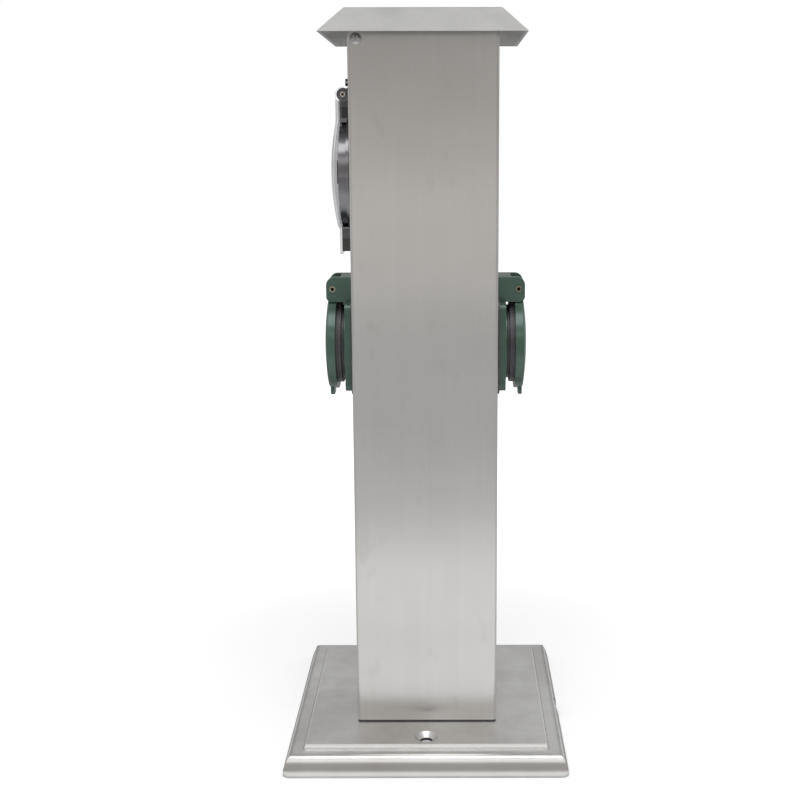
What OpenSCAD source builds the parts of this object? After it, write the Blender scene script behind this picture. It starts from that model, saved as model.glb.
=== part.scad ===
/* [Base tray] */
// Width and depth of the square tray
base_w = 158; // [150:1:220]
// Sheet thickness of the tray
base_t = 1.5; // [1:0.1:2]
// Height of the rounded ledge above the ground
ledge_h = 11.2; // [10.4:0.1:15]
// Radius of the pressed edge between the skirt and the ledge
edge_r = 4; // [3:0.1:5]
// Distance from the tray's outer face in to the centre of the pressed edge
edge_in = 6.3; // [5:0.1:7.5]
// Radius of the bend where the leaning skirt turns upright
foot_bend_r = 2.2; // [2:0.1:3]
// Height of the upright strip at the skirt's foot
foot_strip = 2; // [1.6:0.1:4]
// Distance from the skirt to the foot of the raised flat
step_in = 11.5; // [10:0.1:16]
// Width of the sloped step up to the raised flat
step_run = 0.5; // [0.3:0.1:2]
// Height of the raised flat above the ledge
step_rise = 2.6; // [2:0.1:4]
// Radius of the tray's upright corners
base_corner_r = 4; // [2:0.5:8]
// Width of the rim that is folded in under the skirt
rim_fold = 3; // [2:0.5:5]
// Distance from the centre of the tray to each ground screw hole
ground_hole_y = 58.5; // [55:0.5:62]
// Radius of a ground screw hole
ground_hole_r = 3.4; // [2.5:0.1:4]
// Radius of the dimple round a ground screw hole
dimple_r = 6.6; // [5.5:0.1:8]
// Depth of the dimple
dimple_depth = 2.4; // [1.5:0.1:3.5]
// Height of the arched cable notch in the skirt
notch_r = 8; // [6:0.5:9]

/* [Post] */
// Outside width of the square tube
post_w = 80; // [76:1:90]
// Sheet thickness of the tube
post_t = 1.2; // [1:0.1:1.6]
// Outside bend radius of the tube's corners
post_bend_r = 2; // [1.8:0.1:4]
// Length of the tube
post_h = 396.6; // [390:1:480]
// Thickness of the gasket under the tube
foot_gasket_t = 0.8; // [0.5:0.1:2]
// Distance that the gasket stays back from the tube's face
foot_gasket_back = 0.6; // [0.3:0.1:1]
// Thickness of the plate welded inside the foot of the tube
foot_plate_t = 3; // [2:0.5:5]
// Distance from the centre to each foot screw, both ways
foot_screw_at = 28; // [25:0.5:30]
// Shank radius of a foot screw
foot_screw_r = 2.5; // [2:0.1:3]

/* [Roof] */
// Width of the roof at its eaves
roof_w = 108.6; // [100:0.2:130]
// Height of the roof from its eaves to its flat top
roof_rise = 13.1; // [10:0.1:20]
// Sheet thickness of the roof
roof_t = 1.2; // [1:0.1:2]
// Distance that the flat top reaches past the post
roof_margin = 1.2; // [0.8:0.1:3]
// Bend radius between the flat top and the slopes
roof_bend_r = 2.5; // [1.5:0.1:4]
// Sheet thickness of the bracket under the roof
roof_bracket_t = 1.5; // [1:0.1:2.5]
// Length of the bracket's legs
roof_bracket_leg = 24; // [22:1:40]
// Distance of a roof screw from the nearer side face of the post
roof_screw_in = 4.6; // [4.6:0.1:10]
// Distance of a roof screw below the top of the post
roof_screw_drop = 14.5; // [13.9:0.1:18]
// Shank radius of a roof screw
roof_screw_r = 1.75; // [1.5:0.05:2]
// Head radius of a roof screw
roof_head_r = 3; // [2.6:0.1:3.4]

/* [Sockets] */
// Distance of the sockets' centre below the timer's centre
socket_drop = 96.5; // [92:0.5:110]
// Width and height of a socket's flange
flange_w = 50; // [49:0.5:54]
// Thickness of the flange
flange_t = 3.5; // [3:0.1:5]
// Corner radius of the flange
flange_corner_r = 4; // [2:0.5:5]
// Thickness of the gasket behind the flange
socket_gasket_t = 1.5; // [1:0.1:2.5]
// Distance that the gasket shows past the flange
socket_gasket_lap = 1.8; // [0.5:0.1:2.5]
// Radius of the round recess that takes the plug
cup_r = 19.5; // [19:0.1:19.8]
// Depth of the recess, from the front of its collar
cup_depth = 17.5; // [16:0.5:19]
// Wall thickness of the recess
cup_wall = 1.8; // [1.4:0.1:2]
// Height of the collar in front of the flange
collar_h = 1; // [0.6:0.1:2]
// Distance between the holes for the plug's pins
pin_pitch = 19; // [18.5:0.1:19.5]
// Radius of the holes for the plug's pins
pin_hole_r = 2.7; // [2.6:0.05:3]
// Distance from the socket's centre to each fixing screw, both ways
fixing_at = 19; // [18.8:0.1:19.6]
// Shank radius of a fixing screw
fixing_r = 1.5; // [1.3:0.05:1.8]
// Radius of the round lid
lid_r = 27; // [26:0.1:27.5]
// Thickness of the lid at its rim
lid_rim_t = 5; // [4:0.1:6]
// Height that the middle of the lid rises above the rim
lid_crown = 2; // [1:0.1:3]
// Skin thickness of the lid
lid_skin = 2; // [1.5:0.1:2.4]
// Outer radius of the seal on the lid
seal_r = 23.5; // [23:0.1:23.5]
// Depth of the seal between the lid and the collar
seal_depth = 4.2; // [3.5:0.1:5]
// Height of the hinge pin above the socket's centre
hinge_up = 31.7; // [31.5:0.1:34]
// Width of the hinge block
hinge_block_w = 26; // [24:0.5:30]
// Thickness of each ear of the hinge block
hinge_ear_t = 5; // [4:0.5:6]
// Outer radius of the hollow hinge pin
hinge_pin_r = 1.5; // [1.3:0.05:1.7]
// Bore radius of the hollow hinge pin
hinge_pin_bore_r = 0.8; // [0.5:0.05:1]
// Wire thickness of the lid spring
spring_wire = 0.8; // [0.6:0.1:0.9]
// Number of turns of the lid spring
spring_turns = 4; // [3:1:5]

/* [Timer] */
// Distance of the timer's centre below the top of the post
timer_drop = 84.7; // [80:0.1:89]
// Thickness of the gasket behind the timer's frame
timer_gasket_t = 0.8; // [0.5:0.1:1.2]
// Thickness of the frame's plate
timer_plate_t = 1.7; // [1.4:0.1:2]
// Outer radius of the frame's collar
timer_collar_r = 30.5; // [30:0.1:31]
// Wall thickness of the collar
timer_collar_wall = 2; // [1.6:0.1:2.2]
// Height of the collar in front of the plate
timer_collar_h = 4; // [3.4:0.1:5]
// Distance that the plate reaches past the collar
timer_plate_lap = 2.5; // [2:0.1:3]
// Radius of the clear dome
dome_r = 32; // [31.8:0.1:33]
// Height of the dome's rim
dome_rim_h = 2.3; // [2:0.1:3]
// Height that the dome rises above its rim
dome_crown = 3.4; // [2.5:0.1:4.5]
// Wall thickness of the clear lid
dome_wall = 1.4; // [1.2:0.1:1.8]
// Height of the timer's hinge pin above its centre
timer_hinge_up = 42.5; // [42:0.1:44]
// Width of the timer's hinge block
timer_hinge_w = 30; // [26:0.5:32]
// Thickness of each clear hinge arm
timer_arm_t = 2; // [1.5:0.1:2.5]
// Radius of the timer's hinge pin
timer_pin_r = 1.2; // [1:0.05:1.3]
// Number of tappets round the dial, in four banks
tappet_count = 48; // [40:4:48]
// Travel of a tappet when it is pushed in
tappet_travel = 2.5; // [2:0.1:2.6]
// Radial depth of a tappet
tappet_depth = 4.4; // [4:0.1:4.6]
// Width of a tappet along the rim
tappet_w = 2.4; // [2:0.1:2.6]
// Length of a tappet
tappet_len = 7.6; // [7:0.1:8]
// Radius of the spindle that carries the dial
spindle_r = 2; // [1.6:0.1:2.4]
// Radius of the override knob
knob_r = 6.5; // [5.5:0.1:8]
// Pitch size of the drive gears, diameter over teeth
gear_module = 0.75; // [0.7:0.01:0.78]
// Depth of the timer's housing behind the post's face
housing_depth = 27; // [26:0.5:28]
// Wall thickness of the housing
housing_wall = 1.6; // [1.4:0.1:2]

/* [Wiring] */
// Radius of an insulated wire
wire_r = 1.3; // [1.1:0.05:1.4]
// Distance between the poles of the terminal block
pole_pitch = 10; // [9:0.5:11]
// Height of the terminal block's underside above the foot plate
terminal_up = 34; // [30:1:45]
// Radius of the supply cable that the gland takes
cable_r = 4.5; // [3.5:0.1:5]
// Thread radius of the gland
gland_r = 10; // [9:0.1:10]

/* [Hidden] */
$fn = 96;
// Clearance between pieces that are only laid together
fit = 0.3;
// Radial clearance of a pin or spindle that turns
running = 0.05;
// Overshoot of a cut past the face it cuts
cut = 1;
// Thickness and width over flats of the nuts inside the post
fixing_nut_h = 2.4;
nut_across = 5.5;

post_inner = post_w / 2 - post_t;
flat_z = ledge_h + step_rise;
post_z = flat_z + foot_gasket_t;
post_top = post_z + post_h;
eave_z = post_top + roof_t - roof_rise;
wall_x = post_w / 2;
// Heights of the timer's and the sockets' centres above the ground
timer_z = post_top - timer_drop;
socket_z = timer_z - socket_drop;
roof_screw_x = wall_x - roof_screw_in;

// Rounded rectangle about the origin, in the flat
module rounded(w, h, r) {
    square([w - 2 * r, h], center = true);
    square([w, h - 2 * r], center = true);
    for (x = [-1, 1], y = [-1, 1])
        translate([x * (w / 2 - r), y * (h / 2 - r)]) circle(r);
}

// Slab that lies flat, with rounded upright corners
module slab(w, h, r, t) {
    linear_extrude(t) rounded(w, h, r);
}

// Stands a flat outline up on the post's side wall: its x runs along Y, its y up, its thickness out along X
module on_wall(t) {
    rotate([90, 0, 90]) linear_extrude(t) children();
}

// Extrudes an outline of the X-Z plane along Y, from y0 to y1
module along_y(y0, y1) {
    translate([0, y1, 0]) rotate([90, 0, 0]) linear_extrude(y1 - y0) children();
}

// Round bar along X, from x0 to x1
module bar_x(x0, x1, r) {
    translate([x0, 0, 0]) rotate([0, 90, 0]) cylinder(h = x1 - x0, r = r);
}

// Round bar along Y, from y0 to y1
module bar_y(y0, y1, r) {
    translate([0, y0, 0]) rotate([-90, 0, 0]) cylinder(h = y1 - y0, r = r);
}

// Round bar along Z, from z0 to z1
module bar_z(z0, z1, r) {
    translate([0, 0, z0]) cylinder(h = z1 - z0, r = r);
}

// Hexagon nut or head across the flats, from z0 to z1
module hexagon(z0, z1, flats) {
    translate([0, 0, z0]) cylinder(h = z1 - z0, r = flats / sqrt(3), $fn = 6);
}

// Copies what follows to the four corners of a square
module at_corners(at) {
    for (x = [-1, 1], y = [-1, 1]) translate([x * at, y * at, 0]) children();
}

// Insulated wire along a list of points, with a slightly fuller bend at each point
module wire(points, r = wire_r) {
    for (i = [0 : len(points) - 2]) {
        a = points[i];
        b = points[i + 1];
        d = b - a;
        translate(a)
            rotate([0, acos(d[2] / norm(d)), atan2(d[1], d[0])])
                cylinder(h = norm(d), r = r, $fn = 24);
    }
    for (i = [1 : len(points) - 2]) translate(points[i]) sphere(1.08 * r, $fn = 32);
}

// Base tray

// Half width of the raised flat's foot
step_half = base_w / 2 - step_in;
// Underside of the tray's flat
under_flat_z = flat_z - base_t;

// Centres of the pressed edge and of the skirt's lower bend in the right half of the section
edge_at = [base_w / 2 - edge_in, ledge_h - edge_r];
bend_at = [base_w / 2 - foot_bend_r, foot_strip];
// Outward direction of the leaning skirt, which touches both bends
skirt_slope = bend_at - edge_at;
skirt_turn = atan2(skirt_slope[1], skirt_slope[0]) + acos((edge_r - foot_bend_r) / norm(skirt_slope));
skirt_out = [cos(skirt_turn), sin(skirt_turn)];

// Cross section of the pressed tray, drawn inwards by a sheet's thickness for its hollow
module tray_section(inset) {
    half = base_w / 2;
    for (s = [0, 1]) mirror([s, 0]) {
        translate(edge_at) circle(edge_r - inset);
        translate(bend_at) circle(foot_bend_r - inset);
        polygon([
            [0, 0], [half - inset, 0], [half - inset, foot_strip],
            bend_at + (foot_bend_r - inset) * skirt_out, edge_at + (edge_r - inset) * skirt_out,
            [edge_at[0], ledge_h - inset], [0, ledge_h - inset]
        ]);
    }
    polygon([
        [-step_half, 0], [step_half, 0], [step_half, ledge_h - inset],
        [step_half - step_run, flat_z - inset],
        [step_run - step_half, flat_z - inset], [-step_half, ledge_h - inset]
    ]);
}

module tray_form(inset) {
    depth = base_w + 2 * cut;
    intersection() {
        along_y(-depth / 2, depth / 2) intersection() {
            tray_section(inset);
            translate([-base_w / 2, 0]) square([base_w, flat_z]);
        }
        rotate(90) along_y(-depth / 2, depth / 2) intersection() {
            tray_section(inset);
            translate([-base_w / 2, 0]) square([base_w, flat_z]);
        }
        slab(base_w - 2 * inset, base_w - 2 * inset, base_corner_r - inset / 2, flat_z);
    }
}

module base_tray() {
    inner_w = base_w - 2 * base_t - 2 * rim_fold;
    neck_r = ground_hole_r + base_t;
    color("lightgray") difference() {
        union() {
            difference() {
                tray_form(0);
                intersection() {
                    tray_form(base_t);
                    bar_z(base_t, flat_z, base_w);
                }
                translate([0, 0, -cut])
                    slab(inner_w, inner_w, base_corner_r, base_t + 2 * cut);
            }
            for (s = [-1, 1]) translate([0, s * ground_hole_y, flat_z - base_t - dimple_depth])
                cylinder(h = dimple_depth + base_t / 2, r1 = neck_r, r2 = dimple_r + base_t);
        }
        for (s = [-1, 1]) translate([0, s * ground_hole_y, 0]) {
            bar_z(-cut, flat_z + cut, ground_hole_r);
            translate([0, 0, flat_z - dimple_depth])
                cylinder(h = dimple_depth, r1 = ground_hole_r, r2 = dimple_r);
            bar_z(flat_z, flat_z + cut, dimple_r);
        }
        bar_z(under_flat_z - cut, flat_z + cut, gland_r + fit);
        at_corners(foot_screw_at) bar_z(under_flat_z - cut, flat_z + cut, foot_screw_r + fit);
        bar_x(base_w / 2 - base_t - rim_fold - cut, base_w / 2 + cut, notch_r);
    }
}

// Post and its foot

module foot_gasket() {
    w = post_w - 2 * foot_gasket_back;
    color("black") translate([0, 0, flat_z]) difference() {
        slab(w, w, post_bend_r, foot_gasket_t);
        translate([0, 0, -cut]) cylinder(h = foot_gasket_t + 2 * cut, r = gland_r + fit);
        translate([0, 0, -cut])
            at_corners(foot_screw_at) cylinder(h = foot_gasket_t + 2 * cut, r = foot_screw_r + fit);
    }
}

module post() {
    inner_w = 2 * post_inner;
    color("silver") difference() {
        translate([0, 0, post_z]) slab(post_w, post_w, post_bend_r, post_h);
        translate([0, 0, post_z - cut])
            slab(inner_w, inner_w, post_bend_r - post_t, post_h + 2 * cut);
        for (side = [-1, 1]) at_socket(side) {
            bar_x(-post_t - cut, cut, socket_hole_r);
            at_fixings() bar_x(-post_t - cut, cut, fixing_r + fit / 2);
        }
        at_timer() {
            bar_x(-post_t - cut, cut, timer_hole_r);
            at_timer_screws() bar_x(-post_t - cut, cut, fixing_r + fit / 2);
        }
        at_roof_screws() bar_y(-cut, post_t + cut, roof_screw_r + fit);
    }
}

module foot_plate() {
    w = 2 * post_inner - 2 * fit;
    color("gray") translate([0, 0, post_z]) difference() {
        slab(w, w, post_bend_r, foot_plate_t);
        translate([0, 0, -cut]) {
            cylinder(h = foot_plate_t + 2 * cut, r = gland_r + fit);
            at_corners(foot_screw_at) cylinder(h = foot_plate_t + 2 * cut, r = foot_screw_r + fit / 3);
        }
    }
}

// Hexagon heads under the tray, with their shanks screwed up into the foot plate
module foot_screws() {
    head_h = 1.4 * foot_screw_r;
    tip_z = post_z + foot_plate_t + foot_screw_r;
    color("silver") at_corners(foot_screw_at) {
        hexagon(under_flat_z - head_h, under_flat_z, 3.2 * foot_screw_r);
        bar_z(under_flat_z - cut, tip_z, foot_screw_r);
    }
}

// Roof

// Half width of the roof's flat top
roof_top_half = wall_x + roof_margin;

// Cross section of the roof's outside, drawn inwards by its sheet's thickness for its hollow
module roof_section(inset) {
    slope = atan2(roof_rise, roof_w / 2 - roof_top_half);
    top_z = post_top + roof_t - inset;
    // Shift of the sloped face when the sheet's thickness comes off it
    back = inset / sin(slope);
    top_half = roof_top_half - back + inset / tan(slope);
    bend = roof_bend_r - inset * (roof_bend_r > roof_t + 0.3 ? 1 : 0);
    reach = bend * tan(slope / 2);
    low_z = eave_z - cut;
    low_half = top_half + (top_z - low_z) / tan(slope);
    polygon([
        [-low_half, low_z], [low_half, low_z],
        [top_half - reach + bend * sin(slope), top_z - bend + bend * cos(slope)],
        [top_half - reach, top_z], [reach - top_half, top_z],
        [reach - top_half - bend * sin(slope), top_z - bend + bend * cos(slope)]
    ]);
    for (s = [-1, 1]) translate([s * (top_half - reach), top_z - bend]) circle(bend);
}

module roof_form(inset) {
    depth = roof_w + 6 * cut;
    intersection() {
        along_y(-depth / 2, depth / 2) roof_section(inset);
        rotate(90) along_y(-depth / 2, depth / 2) roof_section(inset);
    }
}

module roof_cap() {
    color("gainsboro") intersection() {
        difference() {
            roof_form(0);
            roof_form(roof_t);
        }
        translate([0, 0, eave_z]) slab(roof_w + 2 * cut, roof_w + 2 * cut, cut, roof_rise + cut);
    }
}

// Height of the roof screws' axes
roof_screw_z = post_top - roof_screw_drop;
// Outer face of the bracket's legs
bracket_y = post_inner - fit;

// One screw on the front face and one diagonally behind it, with y running inwards from the post's face
module at_roof_screws() {
    for (turn = [0, 180]) rotate(turn)
        translate([-roof_screw_x, -wall_x, roof_screw_z]) children();
}

// Folded bracket under the roof, whose legs stand inside the post's front and back walls
module roof_bracket() {
    w = 2 * post_inner - 2 * fit;
    nut_h = 2.2 * roof_screw_r;
    color("gray") difference() {
        union() {
            translate([0, 0, post_top - roof_bracket_t]) slab(w, w, post_bend_r, roof_bracket_t);
            for (s = [-1, 1])
                translate([-w / 2, s * (bracket_y - roof_bracket_t / 2) - roof_bracket_t / 2,
                           post_top - roof_bracket_leg])
                    cube([w, roof_bracket_t, roof_bracket_leg]);
            at_roof_screws() bar_y(post_t + fit, post_t + fit + roof_bracket_t + nut_h, 1.2 * roof_screw_r);
        }
        at_roof_screws() bar_y(0, wall_x / 2, roof_screw_r + fit / 3);
        translate([0, 0, post_top - roof_bracket_t - cut])
            cylinder(h = roof_bracket_t + 2 * cut, r = post_w / 4);
    }
}

// Pan head screws with a cross recess
module roof_screws() {
    head_h = 0.7 * roof_head_r;
    color("silver") at_roof_screws() difference() {
        union() {
            intersection() {
                translate([0, 1.6 * roof_head_r - head_h, 0]) sphere(1.6 * roof_head_r);
                bar_y(-head_h, 0, roof_head_r);
            }
            bar_y(-cut, post_t + 2.2 * roof_screw_r, roof_screw_r);
        }
        for (turn = [45, 135]) rotate([0, turn, 0])
            translate([-roof_head_r / 1.6, -head_h - cut, -roof_head_r / 9])
                cube([1.25 * roof_head_r, cut + 0.6 * head_h, roof_head_r / 4.5]);
    }
}

// Gland for the supply cable, in the middle of the foot

// Thickness of the gland's hexagon flange
gland_flange_h = 5;
gland_flange_z = post_z + foot_plate_t;
gland_neck_z = gland_flange_z + gland_flange_h;
// Width of the gland's hexagons across their flats
gland_flats = 2.4 * gland_r;
// Length of the upper thread that the dome nut screws on
gland_neck_h = 8;
// Inner radius of the gland's body
gland_bore_r = cable_r + 2;

module gland_body() {
    color("dimgray") difference() {
        union() {
            bar_z(under_flat_z - gland_flange_h, gland_flange_z, gland_r);
            hexagon(gland_flange_z, gland_neck_z, gland_flats);
            bar_z(gland_neck_z, gland_neck_z + gland_neck_h, gland_r - 1);
        }
        bar_z(0, post_top, gland_bore_r);
    }
}

module gland_seal() {
    color("black") difference() {
        bar_z(gland_neck_z, gland_neck_z + gland_neck_h + 1, gland_bore_r - fit / 3);
        bar_z(0, post_top, cable_r);
    }
}

module gland_dome_nut() {
    top_z = gland_neck_z + gland_neck_h + 1;
    color("dimgray") difference() {
        union() {
            hexagon(gland_neck_z + fit, top_z, gland_flats);
            bar_z(top_z, top_z + 2, gland_r);
        }
        bar_z(gland_neck_z, top_z, gland_r - 1 + fit / 3);
        bar_z(gland_neck_z, top_z + 2 + cut, cable_r + 0.5);
    }
}

module gland_lock_nut() {
    color("dimgray") difference() {
        hexagon(under_flat_z - gland_flange_h + 1, under_flat_z, gland_flats);
        bar_z(0, under_flat_z + cut, gland_r + fit / 3);
    }
}

// Terminals over the gland

// Place of the terminal block, which stands clear of the gland
terminal_x = 22;
terminal_z = gland_flange_z + terminal_up;
terminal_size = [14, 3 * pole_pitch + 2, 16];
clamp_w = 6;
clamp_screw_r = 1.5;
poles = [-pole_pitch, 0, pole_pitch];

// Upright plate with a foot, welded on the foot plate
module terminal_bracket() {
    t = roof_bracket_t;
    x = terminal_x + terminal_size[0] / 2;
    h = terminal_up + terminal_size[2];
    color("gray") {
        translate([x, -terminal_size[1] / 2, gland_flange_z]) cube([t, terminal_size[1], h]);
        translate([x - 3 * t, -terminal_size[1] / 2, gland_flange_z]) cube([3 * t + t / 2, terminal_size[1], t]);
    }
}

module terminal_block() {
    color("whitesmoke") difference() {
        translate([terminal_x - terminal_size[0] / 2, -terminal_size[1] / 2, terminal_z])
            cube(terminal_size);
        for (y = poles) translate([terminal_x, y, terminal_z + terminal_size[2] / 2]) {
            translate([-clamp_w / 2 - fit / 3, -clamp_w / 2 - fit / 3, -terminal_size[2]])
                cube([clamp_w + fit / 1.5, clamp_w + fit / 1.5, 2 * terminal_size[2]]);
            for (z = [-1, 1]) translate([0, 0, z * terminal_size[2] / 4])
                bar_x(-terminal_size[0], 0, clamp_screw_r + 2 * fit);
        }
    }
}

// Brass clamps with their screws, which face the middle of the post
module terminal_clamps() {
    color("goldenrod") for (y = poles) translate([terminal_x, y, terminal_z + terminal_size[2] / 2]) {
        difference() {
            translate([-clamp_w / 2, -clamp_w / 2, -0.45 * terminal_size[2]])
                cube([clamp_w, clamp_w, 0.9 * terminal_size[2]]);
            bar_z(-terminal_size[2], terminal_size[2], wire_r + fit);
            for (z = [-1, 1]) translate([0, 0, z * terminal_size[2] / 4])
                bar_x(-terminal_size[0], 0, clamp_screw_r + running);
        }
        for (z = [-1, 1]) translate([0, 0, z * terminal_size[2] / 4])
            bar_x(-terminal_size[0] / 2, -wire_r - 2 * fit, clamp_screw_r);
    }
}

// Place of the earth stud on the foot plate
stud_x = -27;
stud_r = 2.5;
stud_h = 15;

// Welded stud and its nut, as two solids
module earth_stud() {
    color("gold") translate([stud_x, 0, gland_flange_z]) {
        bar_z(0, stud_h, stud_r);
        difference() {
            hexagon(stud_h / 3, stud_h / 3 + 4, 8);
            bar_z(0, stud_h, stud_r + running);
        }
    }
}

// Sockets, drawn with x running outwards from the post's face and z up from the socket's centre

flange_x = socket_gasket_t + flange_t;
collar_x = flange_x + collar_h;
cup_floor_x = collar_x - cup_depth;
cup_back_x = cup_floor_x - 1.4 * cup_wall;
cup_outer_r = cup_r + cup_wall;
socket_hole_r = cup_outer_r + fit;
fixing_head_r = 2 * fixing_r;

lid_x = collar_x + fit + seal_depth;
lid_face_x = lid_x + lid_rim_t;
hinge_x = lid_x + lid_rim_t * 0.4;

// Outline of the hinge block's ears about the hinge pin
ear_front = 3.6;
ear_above = 6.7;
ear_below = 7.3;
ear_top_r = 4.5;
ear_low_r = 3;
knuckle_r = ear_front;
// Half width of the gap between the ears, which holds the lid's knuckles and the spring
hinge_gap = hinge_block_w / 2 - hinge_ear_t;
// Half width of the room for the spring between the knuckles
spring_gap = 3.4;

// Contact carrier behind the cup
carrier_t = 10;
carrier_x = cup_back_x - carrier_t;
// Clamp blocks behind the carrier: their depth, width and reach below and above the socket's centre
clamp_depth = 6;
clamp_block_w = 7;
clamp_low = 4;
clamp_high = 6.5;
clamp_x = carrier_x - clamp_depth;
// Height of the upper and lower wire holes about the socket's centre
wire_hole_z = 1.9;
sleeve_r = 3.1;
earth_w = 5;
earth_t = 0.8;
// Distance of the earth clip's fingers from the centre of the cup
finger_z = cup_r - 2.2;

module at_socket(side) {
    mirror([side < 0 ? 1 : 0, 0, 0]) translate([wall_x, 0, socket_z]) children();
}

module at_fixings() {
    for (y = [-1, 1], z = [-1, 1]) translate([0, y * fixing_at, z * fixing_at]) children();
}

module socket_gasket() {
    w = flange_w + 2 * socket_gasket_lap;
    top = hinge_up + ear_above;
    color("black") difference() {
        union() {
            on_wall(socket_gasket_t) rounded(w, w, flange_corner_r + socket_gasket_lap);
            translate([0, -hinge_block_w / 2, 0]) cube([socket_gasket_t, hinge_block_w, top]);
        }
        bar_x(-cut, socket_gasket_t + cut, socket_hole_r);
        at_fixings() bar_x(-cut, socket_gasket_t + cut, fixing_r + fit / 2);
    }
}

// Side outline of the hinge block
module ear_outline() {
    front = hinge_x + ear_front;
    low = hinge_up - ear_below;
    top = hinge_up + ear_above;
    translate([socket_gasket_t, low]) square([front - ear_top_r - socket_gasket_t, top - low]);
    translate([socket_gasket_t, low])
        square([front - ear_low_r - socket_gasket_t, top - low - ear_top_r]);
    translate([socket_gasket_t, low + ear_low_r])
        square([front - socket_gasket_t, top - low - ear_low_r - ear_top_r]);
    translate([front - ear_top_r, top - ear_top_r]) circle(ear_top_r);
    translate([front - ear_low_r, low + ear_low_r]) circle(ear_low_r);
}

// Flange, cup and hinge block, moulded in one
module socket_front() {
    rib_h = 1.6;
    color("darkslategray") difference() {
        union() {
            translate([socket_gasket_t, 0, 0])
                on_wall(flange_t) rounded(flange_w, flange_w, flange_corner_r);
            bar_x(cup_back_x, collar_x, cup_outer_r);
            bar_x(flange_x, collar_x, cup_outer_r + 0.5);
            along_y(-hinge_block_w / 2, hinge_block_w / 2) ear_outline();
        }
        difference() {
            bar_x(cup_floor_x, collar_x + cut, cup_r);
            for (y = [-1, 1]) translate([cup_floor_x - cut, y * cup_r - rib_h, -2.5])
                cube([cup_depth, 2 * rib_h, 5]);
        }
        for (y = [-1, 1]) translate([0, y * pin_pitch / 2, 0])
            bar_x(cup_back_x - cut, cup_floor_x + cut, pin_hole_r);
        for (z = [-1, 1])
            translate([cup_back_x - cut, -earth_w / 2 - fit, z * finger_z - earth_t / 2 - 2 * fit])
                cube([cup_floor_x - cup_back_x + 2 * cut, earth_w + 2 * fit, earth_t + 4 * fit]);
        translate([hinge_x - knuckle_r - fit, -hinge_gap, hinge_up - ear_below - cut])
            cube([2 * knuckle_r + ear_front, 2 * hinge_gap, ear_below + ear_above + 2 * cut]);
        translate([hinge_x, 0, hinge_up]) bar_y(-hinge_block_w, hinge_block_w, hinge_pin_r);
        at_fixings() {
            bar_x(0, flange_x + cut, fixing_r + fit / 2);
            translate([flange_x - fixing_r, 0, 0]) rotate([0, 90, 0])
                cylinder(h = fixing_r, r1 = fixing_r + fit / 2, r2 = fixing_head_r + fit / 2);
        }
    }
}

// Half cross section of the round lid, from its axis outwards
module lid_section() {
    rim_r = 1.2;
    flat_r = lid_r - rim_r;
    crown_r = (flat_r * flat_r + lid_crown * lid_crown) / (2 * lid_crown);
    hollow_r = seal_r - 3;
    difference() {
        union() {
            translate([0, lid_x]) square([lid_r, lid_rim_t - rim_r]);
            translate([0, lid_x]) square([flat_r, lid_rim_t]);
            translate([flat_r, lid_face_x - rim_r]) circle(rim_r);
            intersection() {
                translate([0, lid_x]) square([flat_r, lid_rim_t + lid_crown]);
                translate([0, lid_face_x + lid_crown - crown_r]) circle(crown_r, $fn = 1440);
            }
        }
        translate([-cut, lid_x - cut])
            square([hollow_r + cut, lid_rim_t + cut - lid_skin / 2]);
        translate([-2 * cut, 0]) square([2 * cut, lid_face_x + lid_crown + cut]);
    }
}

// Round lid with its lift tab below and its knuckles above
module socket_lid() {
    tab_w = 12;
    tab_h = 3.7;
    tab_t = 2.1;
    trim_z = hinge_up - ear_below - 0.5;
    color("darkslategray") difference() {
        union() {
            difference() {
                rotate([0, 90, 0]) rotate_extrude() lid_section();
                translate([lid_x - cut, -lid_r, trim_z])
                    cube([lid_rim_t + lid_crown + 2 * cut, 2 * lid_r, lid_r]);
            }
            translate([lid_face_x - tab_t - fit, 0, -lid_r])
                on_wall(tab_t) rounded(tab_w, 2 * tab_h, 2.5);
            translate([lid_x, fit - hinge_gap, trim_z - 2])
                cube([lid_rim_t, 2 * (hinge_gap - fit), hinge_up - trim_z + 2]);
            translate([hinge_x, 0, hinge_up]) bar_y(fit - hinge_gap, hinge_gap - fit, knuckle_r);
        }
        translate([hinge_x, 0, hinge_up]) {
            bar_y(-hinge_gap, hinge_gap, hinge_pin_r + running);
            bar_y(-spring_gap, spring_gap, knuckle_r + fit);
        }
    }
}

// Ring under the lid, with a narrower lip that rests on the socket's collar
module lid_seal() {
    lip_h = 1.3;
    color("dimgray") difference() {
        union() {
            bar_x(collar_x + fit + lip_h, lid_x, seal_r);
            bar_x(collar_x + fit, lid_x, seal_r - 2.4);
        }
        bar_x(collar_x, lid_x + cut, seal_r - 3.8);
    }
}

// Torsion spring round the hinge pin: one leg stands up behind it, the other presses on the lid
spring_r = hinge_pin_r + 0.4 + spring_wire / 2;
spring_leg = 2.6;
spring_width = 2 * (spring_gap - spring_wire);
spring_steps = 16;
spring_sides = 6;
spring_end = 360 * spring_turns + 180;
// Centre line and outward direction of the wire at each step
spring_path = concat(
    [[[-spring_r, -spring_width / 2, spring_leg], [-1, 0, 0]]],
    [for (a = [0 : 360 / spring_steps : spring_end])
        [[-spring_r * cos(a), spring_width * (a / spring_end - 0.5), -spring_r * sin(a)],
         [-cos(a), 0, -sin(a)]]],
    [[[spring_r, spring_width / 2, -spring_leg], [1, 0, 0]]]
);
echo(least_gap_between_spring_turns = spring_width / (spring_end / 360) - spring_wire);

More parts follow.
